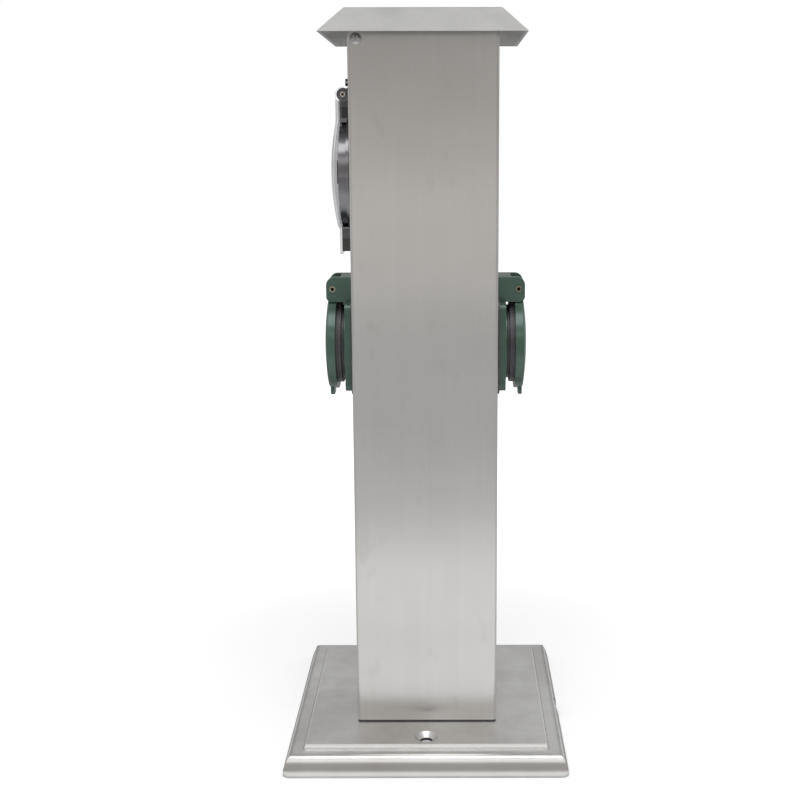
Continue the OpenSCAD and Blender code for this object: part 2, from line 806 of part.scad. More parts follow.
module lid_spring() {
    last = len(spring_path) - 1;
    points = [for (p = spring_path) for (k = [0 : spring_sides - 1])
        p[0] + spring_wire / 2 * (cos(360 * k / spring_sides) * p[1]
                                  + sin(360 * k / spring_sides) * [0, 1, 0])];
    sides = [for (i = [0 : last - 1], k = [0 : spring_sides - 1]) let (
                 n = (k + 1) % spring_sides,
                 a = i * spring_sides + k, b = i * spring_sides + n,
                 c = a + spring_sides, d = b + spring_sides)
             each [[a, b, d], [a, d, c]]];
    caps = [[for (k = [spring_sides - 1 : -1 : 0]) k],
            [for (k = [0 : spring_sides - 1]) last * spring_sides + k]];
    color("silver") translate([hinge_x, 0, hinge_up])
        polyhedron(points, concat(sides, caps), convexity = 6);
}

module contact_carrier() {
    color("dimgray") difference() {
        bar_x(carrier_x, cup_back_x, cup_outer_r - 0.5);
        for (y = [-1, 1]) translate([0, y * pin_pitch / 2, 0])
            bar_x(carrier_x - cut, cup_back_x + cut, sleeve_r + fit / 3);
        translate([cup_back_x - 1.5 * earth_t, -earth_w / 2 - fit, -finger_z - earth_t])
            cube([2 * earth_t, earth_w + 2 * fit, 2 * (finger_z + earth_t)]);
        translate([carrier_x - cut, -earth_w / 2 - fit, -clamp_low - fit])
            cube([carrier_t + 2 * cut, earth_w + 2 * fit, clamp_low + clamp_high + 2 * fit]);
    }
}

// Block with two wire holes from behind and a screw hole from above
module clamp_block(w, x1) {
    difference() {
        translate([clamp_x, -w / 2, -clamp_low]) cube([x1 - clamp_x, w, clamp_low + clamp_high]);
        for (z = [-1, 1]) translate([0, 0, z * wire_hole_z])
            bar_x(clamp_x - cut, clamp_x + clamp_depth - 1.2, wire_r + 0.2);
        translate([clamp_x + clamp_depth / 2, 0, 0])
            bar_z(wire_hole_z, clamp_high + cut, clamp_screw_r + running);
    }
}

// Live and neutral sleeves, each with its clamp block
module contacts() {
    color("goldenrod") for (y = [-1, 1]) translate([0, y * pin_pitch / 2, 0]) {
        clamp_block(clamp_block_w, carrier_x);
        difference() {
            bar_x(carrier_x - 0.5, cup_back_x - fit, sleeve_r);
            bar_x(carrier_x, cup_back_x, pin_hole_r - fit);
        }
    }
}

// Earth strip across the back of the cup, with a finger up each side of it
module earth_clip() {
    reach = finger_z + earth_t / 2;
    x0 = cup_back_x - 1.25 * earth_t;
    color("goldenrod") {
        translate([x0, -earth_w / 2, -reach]) cube([earth_t, earth_w, 2 * reach]);
        for (z = [-1, 1]) {
            translate([x0, -earth_w / 2, z * finger_z - earth_t / 2])
                cube([collar_x - 5 - x0, earth_w, earth_t]);
            translate([collar_x - 6, 0, z * (finger_z - earth_t / 2)])
                bar_y(-earth_w / 2, earth_w / 2, earth_t);
        }
        clamp_block(earth_w, x0 + earth_t / 2);
    }
}

// Countersunk screws and their nuts, for both sockets
module socket_screws() {
    tip = post_t + fixing_nut_h + 1.5;
    color("silver") for (side = [-1, 1]) at_socket(side) at_fixings() {
        difference() {
            union() {
                bar_x(-tip, flange_x, fixing_r);
                translate([flange_x - fixing_r, 0, 0]) rotate([0, 90, 0])
                    cylinder(h = fixing_r, r1 = fixing_r, r2 = fixing_head_r);
            }
            for (turn = [45, 135]) rotate([turn, 0, 0])
                translate([flange_x - 0.9, -1.6, -0.35]) cube([1 + cut, 3.2, 0.7]);
        }
        difference() {
            translate([-post_t - fixing_nut_h, 0, 0]) rotate([0, 90, 0])
                hexagon(0, fixing_nut_h, nut_across);
            bar_x(-tip, 0, fixing_r + running);
        }
    }
}

// Screws of the clamp blocks, for both sockets
module contact_screws() {
    color("silver") for (side = [-1, 1], y = [-pin_pitch / 2, 0, pin_pitch / 2])
        at_socket(side) translate([clamp_x + clamp_depth / 2, y, 0]) difference() {
            union() {
                bar_z(wire_hole_z + wire_r + fit, clamp_high + 0.5, clamp_screw_r);
                bar_z(clamp_high, clamp_high + 1.5, 1.5 * clamp_screw_r);
            }
            translate([-3, -0.3, clamp_high + 0.7]) cube([6, 0.6, 2]);
        }
}

// Hollow hinge pins of both sockets, with turned-over ends
module hinge_pins() {
    end_t = 0.3;
    half = hinge_block_w / 2;
    color("darkgoldenrod") for (side = [-1, 1]) at_socket(side) translate([hinge_x, 0, hinge_up])
        difference() {
            union() {
                bar_y(-half - end_t, half + end_t, hinge_pin_r);
                bar_y(-half - end_t, -half, hinge_pin_r + 0.3);
                bar_y(half, half + end_t, hinge_pin_r + 0.3);
            }
            bar_y(-half - cut, half + cut, hinge_pin_bore_r);
        }
}

// Timer, drawn with x running outwards from the post's face and z up from the dial's centre

plate_x = timer_gasket_t + timer_plate_t;
rim_x = plate_x + timer_collar_h;
collar_in_r = timer_collar_r - timer_collar_wall;
timer_hole_r = timer_collar_r + fit;
dome_x = rim_x + 0.2;
dome_rim_x = dome_x + dome_rim_h;

// Hinge block over the dial and catch block under it
timer_hinge_x = 4.5;
timer_ear_r = 3.6;
timer_arm_r = 4.1;
timer_block_low = timer_collar_r - 3;
catch_top = -29.5;
catch_low = -43.5;
catch_w = 24;
// Screw tab over the hinge block, and the screws above and below the dial
timer_tab_top = timer_hinge_up + 9;
timer_tab_w = 14;
timer_screw_high = timer_hinge_up + 7;
timer_screw_low = -39;

// Rear face of the collar's tube, where the housing starts, and the movement plate inside it
tube_x = -9;
movement_x = -8.5;
movement_t = 1.5;
housing_x = -housing_depth;

// Dial: its front and rear faces and its rim
dial_front_x = rim_x - 1.7;
dial_back_x = -1.8;
dial_rim_r = collar_in_r - 0.5;
tappet_r = dial_rim_r - 0.8 - tappet_depth / 2;
tappet_x = dial_front_x + 1.4 - tappet_len;
hub_r = 6;
gear_x = movement_x + movement_t + 0.7;
gear_w = 2;
dial_teeth = 48;
pinion_teeth = 12;
gear_distance = gear_module * (dial_teeth + pinion_teeth) / 2;
pinion_shaft_r = 1.2;
knob_front_x = dial_front_x + 5;
shoulder_r = 4;

module at_timer() {
    mirror([1, 0, 0]) translate([wall_x, 0, timer_z]) children();
}

module at_timer_screws() {
    for (z = [timer_screw_low, timer_screw_high]) translate([0, 0, z]) children();
}

// Outline of the frame's plate and of the gasket behind it
module timer_plate_outline() {
    difference() {
        union() {
            circle(timer_collar_r + timer_plate_lap);
            translate([-timer_hinge_w / 2, 0]) square([timer_hinge_w, timer_hinge_up + timer_ear_r]);
            translate([0, timer_tab_top / 2]) rounded(timer_tab_w, timer_tab_top, 3);
            translate([0, catch_low / 2]) rounded(catch_w, -catch_low, 2);
        }
        circle(timer_hole_r);
    }
}

module timer_gasket() {
    color("black") at_timer() difference() {
        on_wall(timer_gasket_t) timer_plate_outline();
        at_timer_screws() bar_x(-cut, plate_x, fixing_r + fit / 2);
    }
}

// Frame with its collar, hinge block and catch block, moulded in one
module timer_frame() {
    color("dimgray") at_timer() difference() {
        union() {
            translate([timer_gasket_t, 0, 0]) on_wall(timer_plate_t) timer_plate_outline();
            bar_x(tube_x, rim_x, timer_collar_r);
            translate([timer_gasket_t, 0, 0]) on_wall(timer_plate_t) circle(timer_collar_r + cut);
            translate([0, 0, timer_hinge_up]) translate([timer_hinge_x, 0, 0])
                bar_y(-timer_hinge_w / 2, timer_hinge_w / 2, timer_ear_r);
            translate([timer_gasket_t, -timer_hinge_w / 2, timer_block_low])
                cube([rim_x - timer_gasket_t, timer_hinge_w, timer_hinge_up - timer_block_low]);
            translate([timer_gasket_t, 0, (catch_low + catch_top) / 2])
                on_wall(rim_x - timer_gasket_t) rounded(catch_w, catch_top - catch_low, 1);
        }
        bar_x(tube_x - cut, rim_x + cut, collar_in_r);
        translate([timer_hinge_x, 0, timer_hinge_up])
            bar_y(-timer_hinge_w, timer_hinge_w, timer_pin_r);
        at_timer_screws() bar_x(-cut, rim_x + cut, fixing_r + fit / 2);
        translate([0, 0, timer_screw_low]) bar_x(plate_x + cut, rim_x + cut, fixing_head_r + fit);
    }
}

// Half cross section of the dome, drawn inwards by its wall for its hollow
module dome_section(inset) {
    rim_r = 1.4;
    flat_r = dome_r - rim_r;
    crown_r = (flat_r * flat_r + dome_crown * dome_crown) / (2 * dome_crown);
    difference() {
        union() {
            translate([0, dome_x - cut]) square([dome_r - inset, dome_rim_h + cut - rim_r]);
            translate([0, dome_x - cut]) square([flat_r, dome_rim_h + cut - inset]);
            translate([flat_r, dome_rim_x - rim_r]) circle(max(rim_r - inset, 0.01));
            intersection() {
                translate([0, dome_x - cut]) square([flat_r, dome_rim_h + dome_crown + cut]);
                translate([0, dome_rim_x + dome_crown - crown_r]) circle(crown_r - inset, $fn = 1440);
            }
        }
        translate([-2 * cut, -cut]) square([2 * cut, dome_rim_x + dome_crown + 2 * cut]);
        if (inset == 0) translate([-cut, dome_x - 2 * cut]) square([dome_r + 2 * cut, 2 * cut]);
    }
}

// Clear lid: dome, hinge arms with the strip that joins them, and a lip over the catch
module timer_lid() {
    inner = timer_hinge_w / 2 + fit;
    outer = inner + timer_arm_t;
    strip_x = timer_hinge_x + 2.7;
    strip_low = 24;
    strip_top = timer_hinge_up - 3;
    lip_w = 16;
    lip_low = catch_low - 2;
    color([0.85, 0.85, 0.9, 0.5]) at_timer() difference() {
        union() {
            rotate([0, 90, 0]) rotate_extrude() dome_section(0);
            translate([strip_x, -outer, strip_low]) cube([dome_wall, 2 * outer, strip_top - strip_low]);
            for (s = [-1, 1]) {
                y0 = s > 0 ? inner : -outer;
                translate([0, 0, timer_hinge_up]) translate([timer_hinge_x, 0, 0])
                    bar_y(y0, y0 + timer_arm_t, timer_arm_r);
                translate([strip_x - 2, y0, strip_low])
                    cube([2 + dome_wall, timer_arm_t, timer_hinge_up - strip_low]);
            }
            translate([dome_x + 0.1, -lip_w / 2, lip_low])
                cube([dome_wall, lip_w, catch_top - lip_low]);
        }
        rotate([0, 90, 0]) rotate_extrude() dome_section(dome_wall);
        bar_x(0, dome_x, timer_collar_r + fit);
        translate([timer_hinge_x, 0, timer_hinge_up])
            bar_y(-outer - cut, outer + cut, timer_pin_r + running);
    }
}

module timer_lid_pin() {
    half = timer_hinge_w / 2 + fit + timer_arm_t;
    color("darkgoldenrod") at_timer() translate([timer_hinge_x, 0, timer_hinge_up]) difference() {
        union() {
            bar_y(-half - 0.3, half + 0.3, timer_pin_r);
            bar_y(-half - 0.3, -half - 0.1, timer_pin_r + 0.3);
            bar_y(half + 0.1, half + 0.3, timer_pin_r + 0.3);
        }
        bar_y(-half - cut, half + cut, timer_pin_r / 2);
    }
}

// Outline of a spur gear with straight-sided teeth, the first one on the x axis
module gear_outline(teeth) {
    pitch_r = gear_module * teeth / 2;
    root_r = pitch_r - 1.2 * gear_module;
    tip_r = pitch_r + 0.75 * gear_module;
    half = gear_module * PI / 4 - 0.12;
    half_root = half + (pitch_r - root_r) * tan(20);
    half_tip = half - (tip_r - pitch_r) * tan(20);
    circle(root_r);
    for (i = [0 : teeth - 1]) rotate(i * 360 / teeth)
        polygon([[root_r - 0.3, -half_root], [tip_r, -half_tip], [tip_r, half_tip], [root_r - 0.3, half_root]]);
}

// Dial with its rim of tappet slots in front and its gear behind
module dial() {
    slot_w = tappet_w + 0.2;
    slot_depth = tappet_depth + 0.2;
    color("whitesmoke") at_timer() difference() {
        union() {
            bar_x(dial_back_x, dial_front_x, dial_rim_r);
            bar_x(gear_x, dial_back_x, hub_r);
            translate([gear_x, 0, 0]) on_wall(gear_w) gear_outline(dial_teeth);
        }
        for (i = [0 : tappet_count - 1]) rotate([i * 360 / tappet_count, 0, 0])
            translate([dial_back_x - cut, tappet_r - slot_depth / 2, -slot_w / 2])
                cube([dial_front_x - dial_back_x + 2 * cut, slot_depth, slot_w]);
        bar_x(gear_x - cut, dial_front_x + cut, spindle_r + running);
        bar_x(dial_front_x - 0.8, dial_front_x + cut, knob_r + 2);
    }
}

// One quarter of the tappets round the dial
module tappets(bank) {
    count = tappet_count / 4;
    color("darkslategray") at_timer() for (i = [bank * count : (bank + 1) * count - 1])
        rotate([i * 360 / tappet_count, 0, 0])
            translate([tappet_x, tappet_r - tappet_depth / 2, -tappet_w / 2])
                cube([tappet_len, tappet_depth, tappet_w]);
}

module night_tappets() { tappets(0); }
module morning_tappets() { tappets(1); }
module afternoon_tappets() { tappets(2); }
module evening_tappets() { tappets(3); }

// Spindle riveted in the movement plate, with a shoulder that the dial runs on
module spindle() {
    color("silver") at_timer() {
        bar_x(movement_x - 1.2, knob_front_x - 1.2, spindle_r);
        bar_x(movement_x - 1.2, movement_x, shoulder_r);
        bar_x(movement_x + movement_t, gear_x - 0.15, shoulder_r);
    }
}

// Round knob with a pointed grip bar across it
module override_knob() {
    color("firebrick") at_timer() difference() {
        union() {
            bar_x(dial_front_x - 0.6, dial_front_x + 1.2, knob_r);
            translate([dial_front_x, -1.5, -knob_r]) cube([knob_front_x - dial_front_x, 3, 2 * knob_r]);
            bar_x(dial_front_x, knob_front_x - 0.6, spindle_r + 1.6);
        }
        bar_x(0, knob_front_x - 1, spindle_r + running);
        difference() {
            bar_x(0, knob_front_x + cut, 2 * knob_r);
            bar_x(-cut, knob_front_x + 2 * cut, knob_r);
        }
    }
}

// Switch lever: its place on the tappet circle, and its pivot
lever_y = -tappet_r;
lever_pivot_x = movement_x + movement_t + 1.1;
lever_pivot_z = -6;
lever_pivot_r = 0.6;
lever_w = 1.2;
cheek_t = 1.1;

module movement_plate() {
    color("goldenrod") at_timer() difference() {
        bar_x(movement_x, movement_x + movement_t, collar_in_r - fit);
        bar_x(movement_x - cut, 0, spindle_r);
        translate([0, gear_distance, 0]) bar_x(movement_x - cut, 0, pinion_shaft_r + fit);
        translate([movement_x - cut, lever_y - 1.8, -9]) cube([movement_t + 2 * cut, 3.8, 17]);
    }
}

// Pinion and its shaft out of the motor's gear case
module drive_pinion() {
    color("silver") at_timer() translate([0, gear_distance, 0]) {
        translate([gear_x, 0, 0]) on_wall(gear_w) rotate(180 / pinion_teeth) gear_outline(pinion_teeth);
        bar_x(movement_x - 3, gear_x + gear_w, pinion_shaft_r);
    }
}

// Synchronous motor with its flat gear case, which reaches out to the pinion
module timer_motor() {
    case_t = 4.5;
    case_r = 5;
    can_r = 13;
    can_y = 8;
    color("silver") at_timer() difference() {
        union() {
            translate([movement_x - case_t, 0, 0]) on_wall(case_t) {
                translate([can_y, 0]) circle(can_r + 1);
                translate([gear_distance, 0]) circle(case_r);
                translate([can_y, -case_r]) square([gear_distance - can_y, 2 * case_r]);
            }
            translate([0, can_y, 0]) bar_x(housing_x + housing_wall + 1.4, movement_x - case_t, can_r);
        }
        bar_x(movement_x - 1.2 - fit, movement_x + cut, shoulder_r + fit);
        translate([0, gear_distance, 0])
            bar_x(movement_x - 3 - fit, movement_x + cut, pinion_shaft_r + running);
    }
}

// Switch body behind the movement plate, with two cheeks that hold the lever's pivot
module micro_switch() {
    cheek_low = lever_pivot_z - 1.6;
    color("dimgray") at_timer() difference() {
        union() {
            translate([movement_x - 9.5, lever_y - 1, -8]) cube([9.5, 11, 16]);
            for (s = [-1, 1]) translate([movement_x - 1, lever_y + s * (lever_w / 2 + 0.1 + cheek_t / 2) - cheek_t / 2,
                                         cheek_low])
                cube([lever_pivot_x + 1.2 - movement_x + 1, cheek_t, 3.2]);
        }
        translate([lever_pivot_x, 0, lever_pivot_z])
            bar_y(lever_y - 4, lever_y + 4, lever_pivot_r + running);
    }
}

// Leaf with a nose under the tappets and a peg towards the switch's button
module switch_lever() {
    leaf_t = 0.8;
    color("gold") at_timer() {
        translate([lever_pivot_x, 0, lever_pivot_z]) {
            bar_y(lever_y - lever_w / 2 - cheek_t, lever_y + lever_w / 2 + cheek_t, lever_pivot_r);
            bar_y(lever_y - lever_w / 2, lever_y + lever_w / 2, 1);
        }
        translate([lever_pivot_x - leaf_t / 2, lever_y - lever_w / 2, lever_pivot_z])
            cube([leaf_t, lever_w, 12]);
        translate([lever_pivot_x, lever_y, lever_pivot_z + 10]) intersection() {
            bar_y(-lever_w / 2, lever_w / 2, 1.5);
            translate([0, -lever_w, -2]) cube([2, 2 * lever_w, 4]);
        }
        translate([movement_x + 0.7, lever_y - lever_w / 2, lever_pivot_z + 3])
            cube([lever_pivot_x - movement_x - 0.7, lever_w, 1]);
    }
}

module timer_housing() {
    color("whitesmoke") at_timer() difference() {
        bar_x(housing_x, tube_x, timer_collar_r);
        bar_x(housing_x + housing_wall, tube_x + cut, timer_collar_r - housing_wall);
    }
}

// Terminal block on the back of the housing
timer_poles = [-12, -4, 4, 12];
timer_block = [10, 34, 12];

module timer_terminals() {
    screw_x = housing_x - timer_block[0] / 2;
    color("dimgray") at_timer() {
        difference() {
            translate([housing_x - timer_block[0], -timer_block[1] / 2, -timer_block[2] / 2])
                cube(timer_block);
            for (y = timer_poles) translate([screw_x, y, 0]) {
                bar_z(-timer_block[2], 1, wire_r + 0.2);
                bar_z(3, timer_block[2], clamp_screw_r + fit);
            }
        }
        for (y = timer_poles) translate([screw_x, y, 0])
            bar_z(3 + fit, timer_block[2] / 2 - 0.6, clamp_screw_r);
    }
}

// Screws above and below the dial, and their nuts inside the post
module timer_screws() {
    tip = post_t + fixing_nut_h + 1.5;
    head_h = 1.8;
    color("silver") at_timer() {
        for (s = [[timer_screw_high, plate_x], [timer_screw_low, plate_x + cut]])
            translate([0, 0, s[0]]) difference() {
                union() {
                    bar_x(-tip, s[1] + head_h, fixing_r);
                    bar_x(s[1], s[1] + head_h, 2);
                }
                for (turn = [45, 135]) rotate([turn, 0, 0])
                    translate([s[1] + head_h - 0.8, -1.4, -0.3]) cube([1 + cut, 2.8, 0.6]);
            }
        at_timer_screws() difference() {
            translate([-post_t - fixing_nut_h, 0, 0]) rotate([0, 90, 0])
                hexagon(0, fixing_nut_h, nut_across);
            bar_x(-tip, 0, fixing_r + running);
        }
    }
}

// Wires, in the post's own frame

timer_pole_x = housing_depth + timer_block[0] / 2 - wall_x;
timer_pole_z = timer_z - 3;
// Height at which the wires leave the timer, and the height of each row of wire holes in the sockets
timer_exit_z = timer_z - timer_block[2] / 2 - 10;
upper_z = socket_z + wire_hole_z;
lower_z = socket_z - wire_hole_z;
// Ends of the wires in the sockets' clamp blocks and in the terminal block
socket_end_x = wall_x + clamp_x + 3.5;
block_end_z = terminal_z + terminal_size[2] - 4;
block_exit_z = terminal_z + terminal_size[2] + 10;
live_y = -pin_pitch / 2;
neutral_y = pin_pitch / 2;
// Distance of the wires' vertical runs from the middle of the post
run_x = 3;
turn_x = 7;
// Distance of the earth wire's run towards the rear and the live wire's towards the front
run_y = 20;
earth_run_x = 10;
// Height that a wire takes to climb to its run, and to leave it again
wire_climb = 30;
wire_drop = 10;

module supply_live_wire() {
    color("saddlebrown") wire([
        [terminal_x, -pole_pitch, block_end_z], [terminal_x, -pole_pitch, block_exit_z],
        [0, -run_y, block_exit_z + wire_climb], [0, -run_y, timer_exit_z - wire_drop],
        [timer_pole_x, timer_poles[0], timer_exit_z], [timer_pole_x, timer_poles[0], timer_pole_z]
    ]);
}

module switched_live_wires() {
    color("saddlebrown") for (side = [-1, 1]) wire([
        [timer_pole_x, side * 4, timer_pole_z], [timer_pole_x, side * 4, timer_exit_z],
        [side * run_x, live_y, timer_exit_z - 15], [side * run_x, live_y, upper_z + 4],
        [side * turn_x, live_y, upper_z], [side * socket_end_x, live_y, upper_z]
    ]);
}

module neutral_wires() {
    color("royalblue") {
        wire([
            [terminal_x, 0, block_end_z], [terminal_x, 0, block_exit_z],
            [-run_x, neutral_y, block_exit_z + wire_climb], [-run_x, neutral_y, lower_z - 6],
            [-turn_x, neutral_y, lower_z], [-socket_end_x, neutral_y, lower_z]
        ]);
        wire([[-socket_end_x, neutral_y, upper_z], [socket_end_x, neutral_y, upper_z]]);
        wire([
            [socket_end_x, neutral_y, lower_z], [turn_x + 1, neutral_y, lower_z],
            [run_x + 2, neutral_y + 6, lower_z], [run_x, neutral_y + 7, lower_z + 6],
            [run_x, neutral_y + 7, timer_exit_z - wire_drop],
            [timer_pole_x, timer_poles[3], timer_exit_z], [timer_pole_x, timer_poles[3], timer_pole_z]
        ]);
    }
}

module earth_wires() {
    ring_z = gland_flange_z + stud_h / 3;
    // The wire lies just under the stud's nut
    lug_z = ring_z - wire_r - fit;
    color("yellowgreen") {
        wire([
            [terminal_x, pole_pitch, block_end_z], [terminal_x, pole_pitch, block_exit_z - 6],
            [earth_run_x, run_y, block_exit_z + wire_climb], [earth_run_x, run_y, lower_z - wire_climb],
            [-run_x + 1, 0, lower_z - 6], [-turn_x, 0, lower_z], [-socket_end_x, 0, lower_z]
        ]);
        wire([[-socket_end_x, 0, upper_z], [socket_end_x, 0, upper_z]]);
        wire([
            [stud_x + stud_r + 1.2, 0, lug_z], [-21, 0, lug_z], [-19.5, 0, ring_z + 2],
            [-19.5, 0, ring_z + 12], [run_x, 3, block_exit_z], [run_x, 3, lower_z - 8],
            [turn_x, 0, lower_z], [socket_end_x, 0, lower_z]
        ]);
        translate([stud_x, 0, 0]) difference() {
            bar_z(ring_z - 1, ring_z, stud_r + 2);
            bar_z(ring_z - 1 - cut, ring_z + cut, stud_r + running);
            translate([stud_r + 1, -5, ring_z - 1 - cut]) cube([5, 10, 3]);
        }
    }
}

module left_socket_gasket() { at_socket(-1) socket_gasket(); }
module left_socket_front() { at_socket(-1) socket_front(); }
module left_lid() { at_socket(-1) socket_lid(); }
module left_lid_seal() { at_socket(-1) lid_seal(); }
module left_lid_spring() { at_socket(-1) lid_spring(); }
module left_contact_carrier() { at_socket(-1) contact_carrier(); }
module left_contacts() { at_socket(-1) contacts(); }
module left_earth_clip() { at_socket(-1) earth_clip(); }
module right_socket_gasket() { at_socket(1) socket_gasket(); }
module right_socket_front() { at_socket(1) socket_front(); }
module right_lid() { at_socket(1) socket_lid(); }
module right_lid_seal() { at_socket(1) lid_seal(); }
module right_lid_spring() { at_socket(1) lid_spring(); }
module right_contact_carrier() { at_socket(1) contact_carrier(); }
module right_contacts() { at_socket(1) contacts(); }
module right_earth_clip() { at_socket(1) earth_clip(); }

base_tray();
foot_gasket();
post();
foot_plate();
foot_screws();
roof_cap();
roof_bracket();
roof_screws();
gland_body();
gland_seal();
gland_dome_nut();
gland_lock_nut();
terminal_bracket();
terminal_block();
terminal_clamps();
earth_stud();
supply_live_wire();
switched_live_wires();
neutral_wires();
earth_wires();
left_socket_gasket();
left_socket_front();
left_lid();
left_lid_seal();
left_lid_spring();
left_contact_carrier();
left_contacts();
left_earth_clip();
right_socket_gasket();
right_socket_front();
right_lid();
right_lid_seal();
right_lid_spring();
right_contact_carrier();
right_contacts();
right_earth_clip();
hinge_pins();
socket_screws();
contact_screws();
timer_gasket();
timer_frame();
timer_lid();
timer_lid_pin();
dial();
night_tappets();
morning_tappets();
afternoon_tappets();
evening_tappets();
spindle();
override_knob();
movement_plate();
drive_pinion();
timer_motor();
micro_switch();
switch_lever();
timer_housing();
timer_terminals();
timer_screws();
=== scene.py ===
# %% [markdown]
# # A garden socket post, dressed and lit in Blender
#
# The construction model gives every piece its shape, its size and its place. This file loads it as a fixed
# frame and adds what a camera sees: finishes, printing, and small formed details that a finish alone can't
# give. Each step says what the piece or finish is on the real object, how it could be made, and why it is
# made in this way here.

# %% Load the frame
import bpy
import math
from mathutils import Matrix, Vector


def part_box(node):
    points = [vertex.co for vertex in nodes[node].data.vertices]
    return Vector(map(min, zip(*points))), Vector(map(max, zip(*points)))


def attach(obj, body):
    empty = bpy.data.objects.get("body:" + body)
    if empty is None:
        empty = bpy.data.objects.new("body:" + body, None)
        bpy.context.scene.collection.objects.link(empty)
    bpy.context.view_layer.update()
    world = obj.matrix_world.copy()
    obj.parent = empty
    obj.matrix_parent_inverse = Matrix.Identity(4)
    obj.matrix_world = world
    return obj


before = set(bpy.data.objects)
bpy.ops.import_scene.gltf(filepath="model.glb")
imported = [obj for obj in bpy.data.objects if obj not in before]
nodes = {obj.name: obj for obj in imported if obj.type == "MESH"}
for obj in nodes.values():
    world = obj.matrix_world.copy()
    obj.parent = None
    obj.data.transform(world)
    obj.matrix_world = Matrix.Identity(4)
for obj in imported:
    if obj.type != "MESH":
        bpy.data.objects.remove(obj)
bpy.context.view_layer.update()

# %% [markdown]
# ## The camera
#
# The photograph looks at the post from about 0.7 m, a little below roof height, with the lens raised against
# the picture. Such a raised lens is a shift. A full shift would push the roof out of the picture as soon as
# the camera goes round the object, so most of it is given back as a downward tilt. Perspective depends on the
# camera's place alone, so what hides what stays as in the photograph. The focal length and the centre are in
# pixels of the picture, the place is in metres and the three angles are in degrees.

# %% Camera
PICTURE = 800
FOCAL_PX = 1217.6
CENTRE_X, CENTRE_Y = 449.70, 360.0
CAMERA_PLACE = (0.01356, -0.69534, 0.34535)
PITCH, ROLL, YAW = 10.322, 0.101, -0.017
camera_data = bpy.data.cameras.new("camera")
camera = bpy.data.objects.new("camera", camera_data)
bpy.context.scene.collection.objects.link(camera)
camera_data.sensor_width = 36.0
camera_data.lens = FOCAL_PX * camera_data.sensor_width / PICTURE
camera_data.shift_x = -(CENTRE_X - PICTURE / 2) / PICTURE
camera_data.shift_y = (CENTRE_Y - PICTURE / 2) / PICTURE
camera_data.clip_start, camera_data.clip_end = 0.02, 40.0
camera.location = CAMERA_PLACE
camera.rotation_euler = [math.radians(angle) for angle in (90 - PITCH, ROLL, YAW)]
bpy.context.scene.camera = camera
print("lens in mm:", round(camera_data.lens, 2))
print("shift:", round(camera_data.shift_x, 3), round(camera_data.shift_y, 3))

# %% [markdown]
# ## Shader sums as plain sums
#
# A procedural finish is a sum of patterns. Wiring dozens of Math nodes by hand hides what is meant, so one
# small class wraps a node's output: `0.2 + grain * 0.1` adds the two Math nodes itself. `Graph` holds a node
# tree, the studio's or a material's. Its method `node` takes a node's type, its settings, which are set
# first, and what goes into its sockets. `Finish` is the graph of one material.

# %% Socket, graph and finish classes
class Socket:
    """One output of a node. Sums with it add Math nodes to its graph."""

    def __init__(self, graph, output):
        self.graph, self.output = graph, output

    def __add__(self, other):
        return self.graph.maths("ADD", self, other)

    def __radd__(self, other):
        return self.graph.maths("ADD", other, self)

    def __sub__(self, other):
        return self.graph.maths("SUBTRACT", self, other)

    def __mul__(self, other):
        return self.graph.maths("MULTIPLY", self, other)

    def __pow__(self, other):
        return self.graph.maths("POWER", self, other)

    def __abs__(self):
        return self.graph.maths("ABSOLUTE", self)


class Graph:
    """A node tree that is filled by short calls, each of which gives back the new node's output."""

    def __init__(self, tree):
        self.tree = tree

    def put(self, target, value):
        """Links an output to the target socket, or sets the target's constant."""
        if isinstance(value, Socket):
            self.tree.links.new(value.output, target)
        else:
            target.default_value = value

    def node(self, kind, settings=None, inputs=None, output=0):
        """Makes a node, then applies its settings and fills its inputs."""
        made = self.tree.nodes.new(kind)
        for key, value in (settings or {}).items():
            setattr(made, key, value)
        for key, value in (inputs or {}).items():
            self.put(made.inputs[key], value)
        return Socket(self, made.outputs[output])

    def maths(self, operation, *values):
        """A Math node with one or two values."""
        return self.node("ShaderNodeMath", {"operation": operation}, dict(enumerate(values)))

    def slope(self, value, start, end, first=0.0, last=1.0, kind="SMOOTHSTEP"):
        """Runs from `first` where value is `start` to `last` where it is `end`, and is level beyond."""
        return self.node("ShaderNodeMapRange", {"interpolation_type": kind}, {
            "Value": value, "From Min": start, "From Max": end, "To Min": first, "To Max": last})

    def ramp(self, value, *stops, kind="LINEAR"):
        """Greys at the given places: (place, grey), ..."""
        made = self.tree.nodes.new("ShaderNodeValToRGB")
        shades = made.color_ramp
        while len(shades.elements) < len(stops):
            shades.elements.new(0.5)
        for element, (place, shade) in zip(shades.elements, stops):
            element.position, element.color = place, (shade, shade, shade, 1.0)
        shades.interpolation = kind
        self.put(made.inputs["Fac"], value)
        return Socket(self, made.outputs["Color"])

    # A Mix node has sockets for every data type: inputs 2 and 3 take numbers, 6 and 7 take colours, and
    # output 2 gives a colour.

    def mix(self, share, first, second):
        """A number: `first` where share is 0, `second` where it is 1."""
        return self.node("ShaderNodeMix", {"data_type": "FLOAT"}, {0: share, 2: first, 3: second})

    def blend(self, share, first, second):
        """A colour: `first` where share is 0, `second` where it is 1."""
        pair = [value if isinstance(value, Socket) else (*value, 1.0) for value in (first, second)]
        return self.node("ShaderNodeMix", {"data_type": "RGBA"}, {0: share, 6: pair[0], 7: pair[1]}, 2)

    def rays(self, kind):
        """1 for rays of one kind, such as Camera or Glossy, and 0 for all others."""
        return self.node("ShaderNodeLightPath", output=f"Is {kind} Ray")


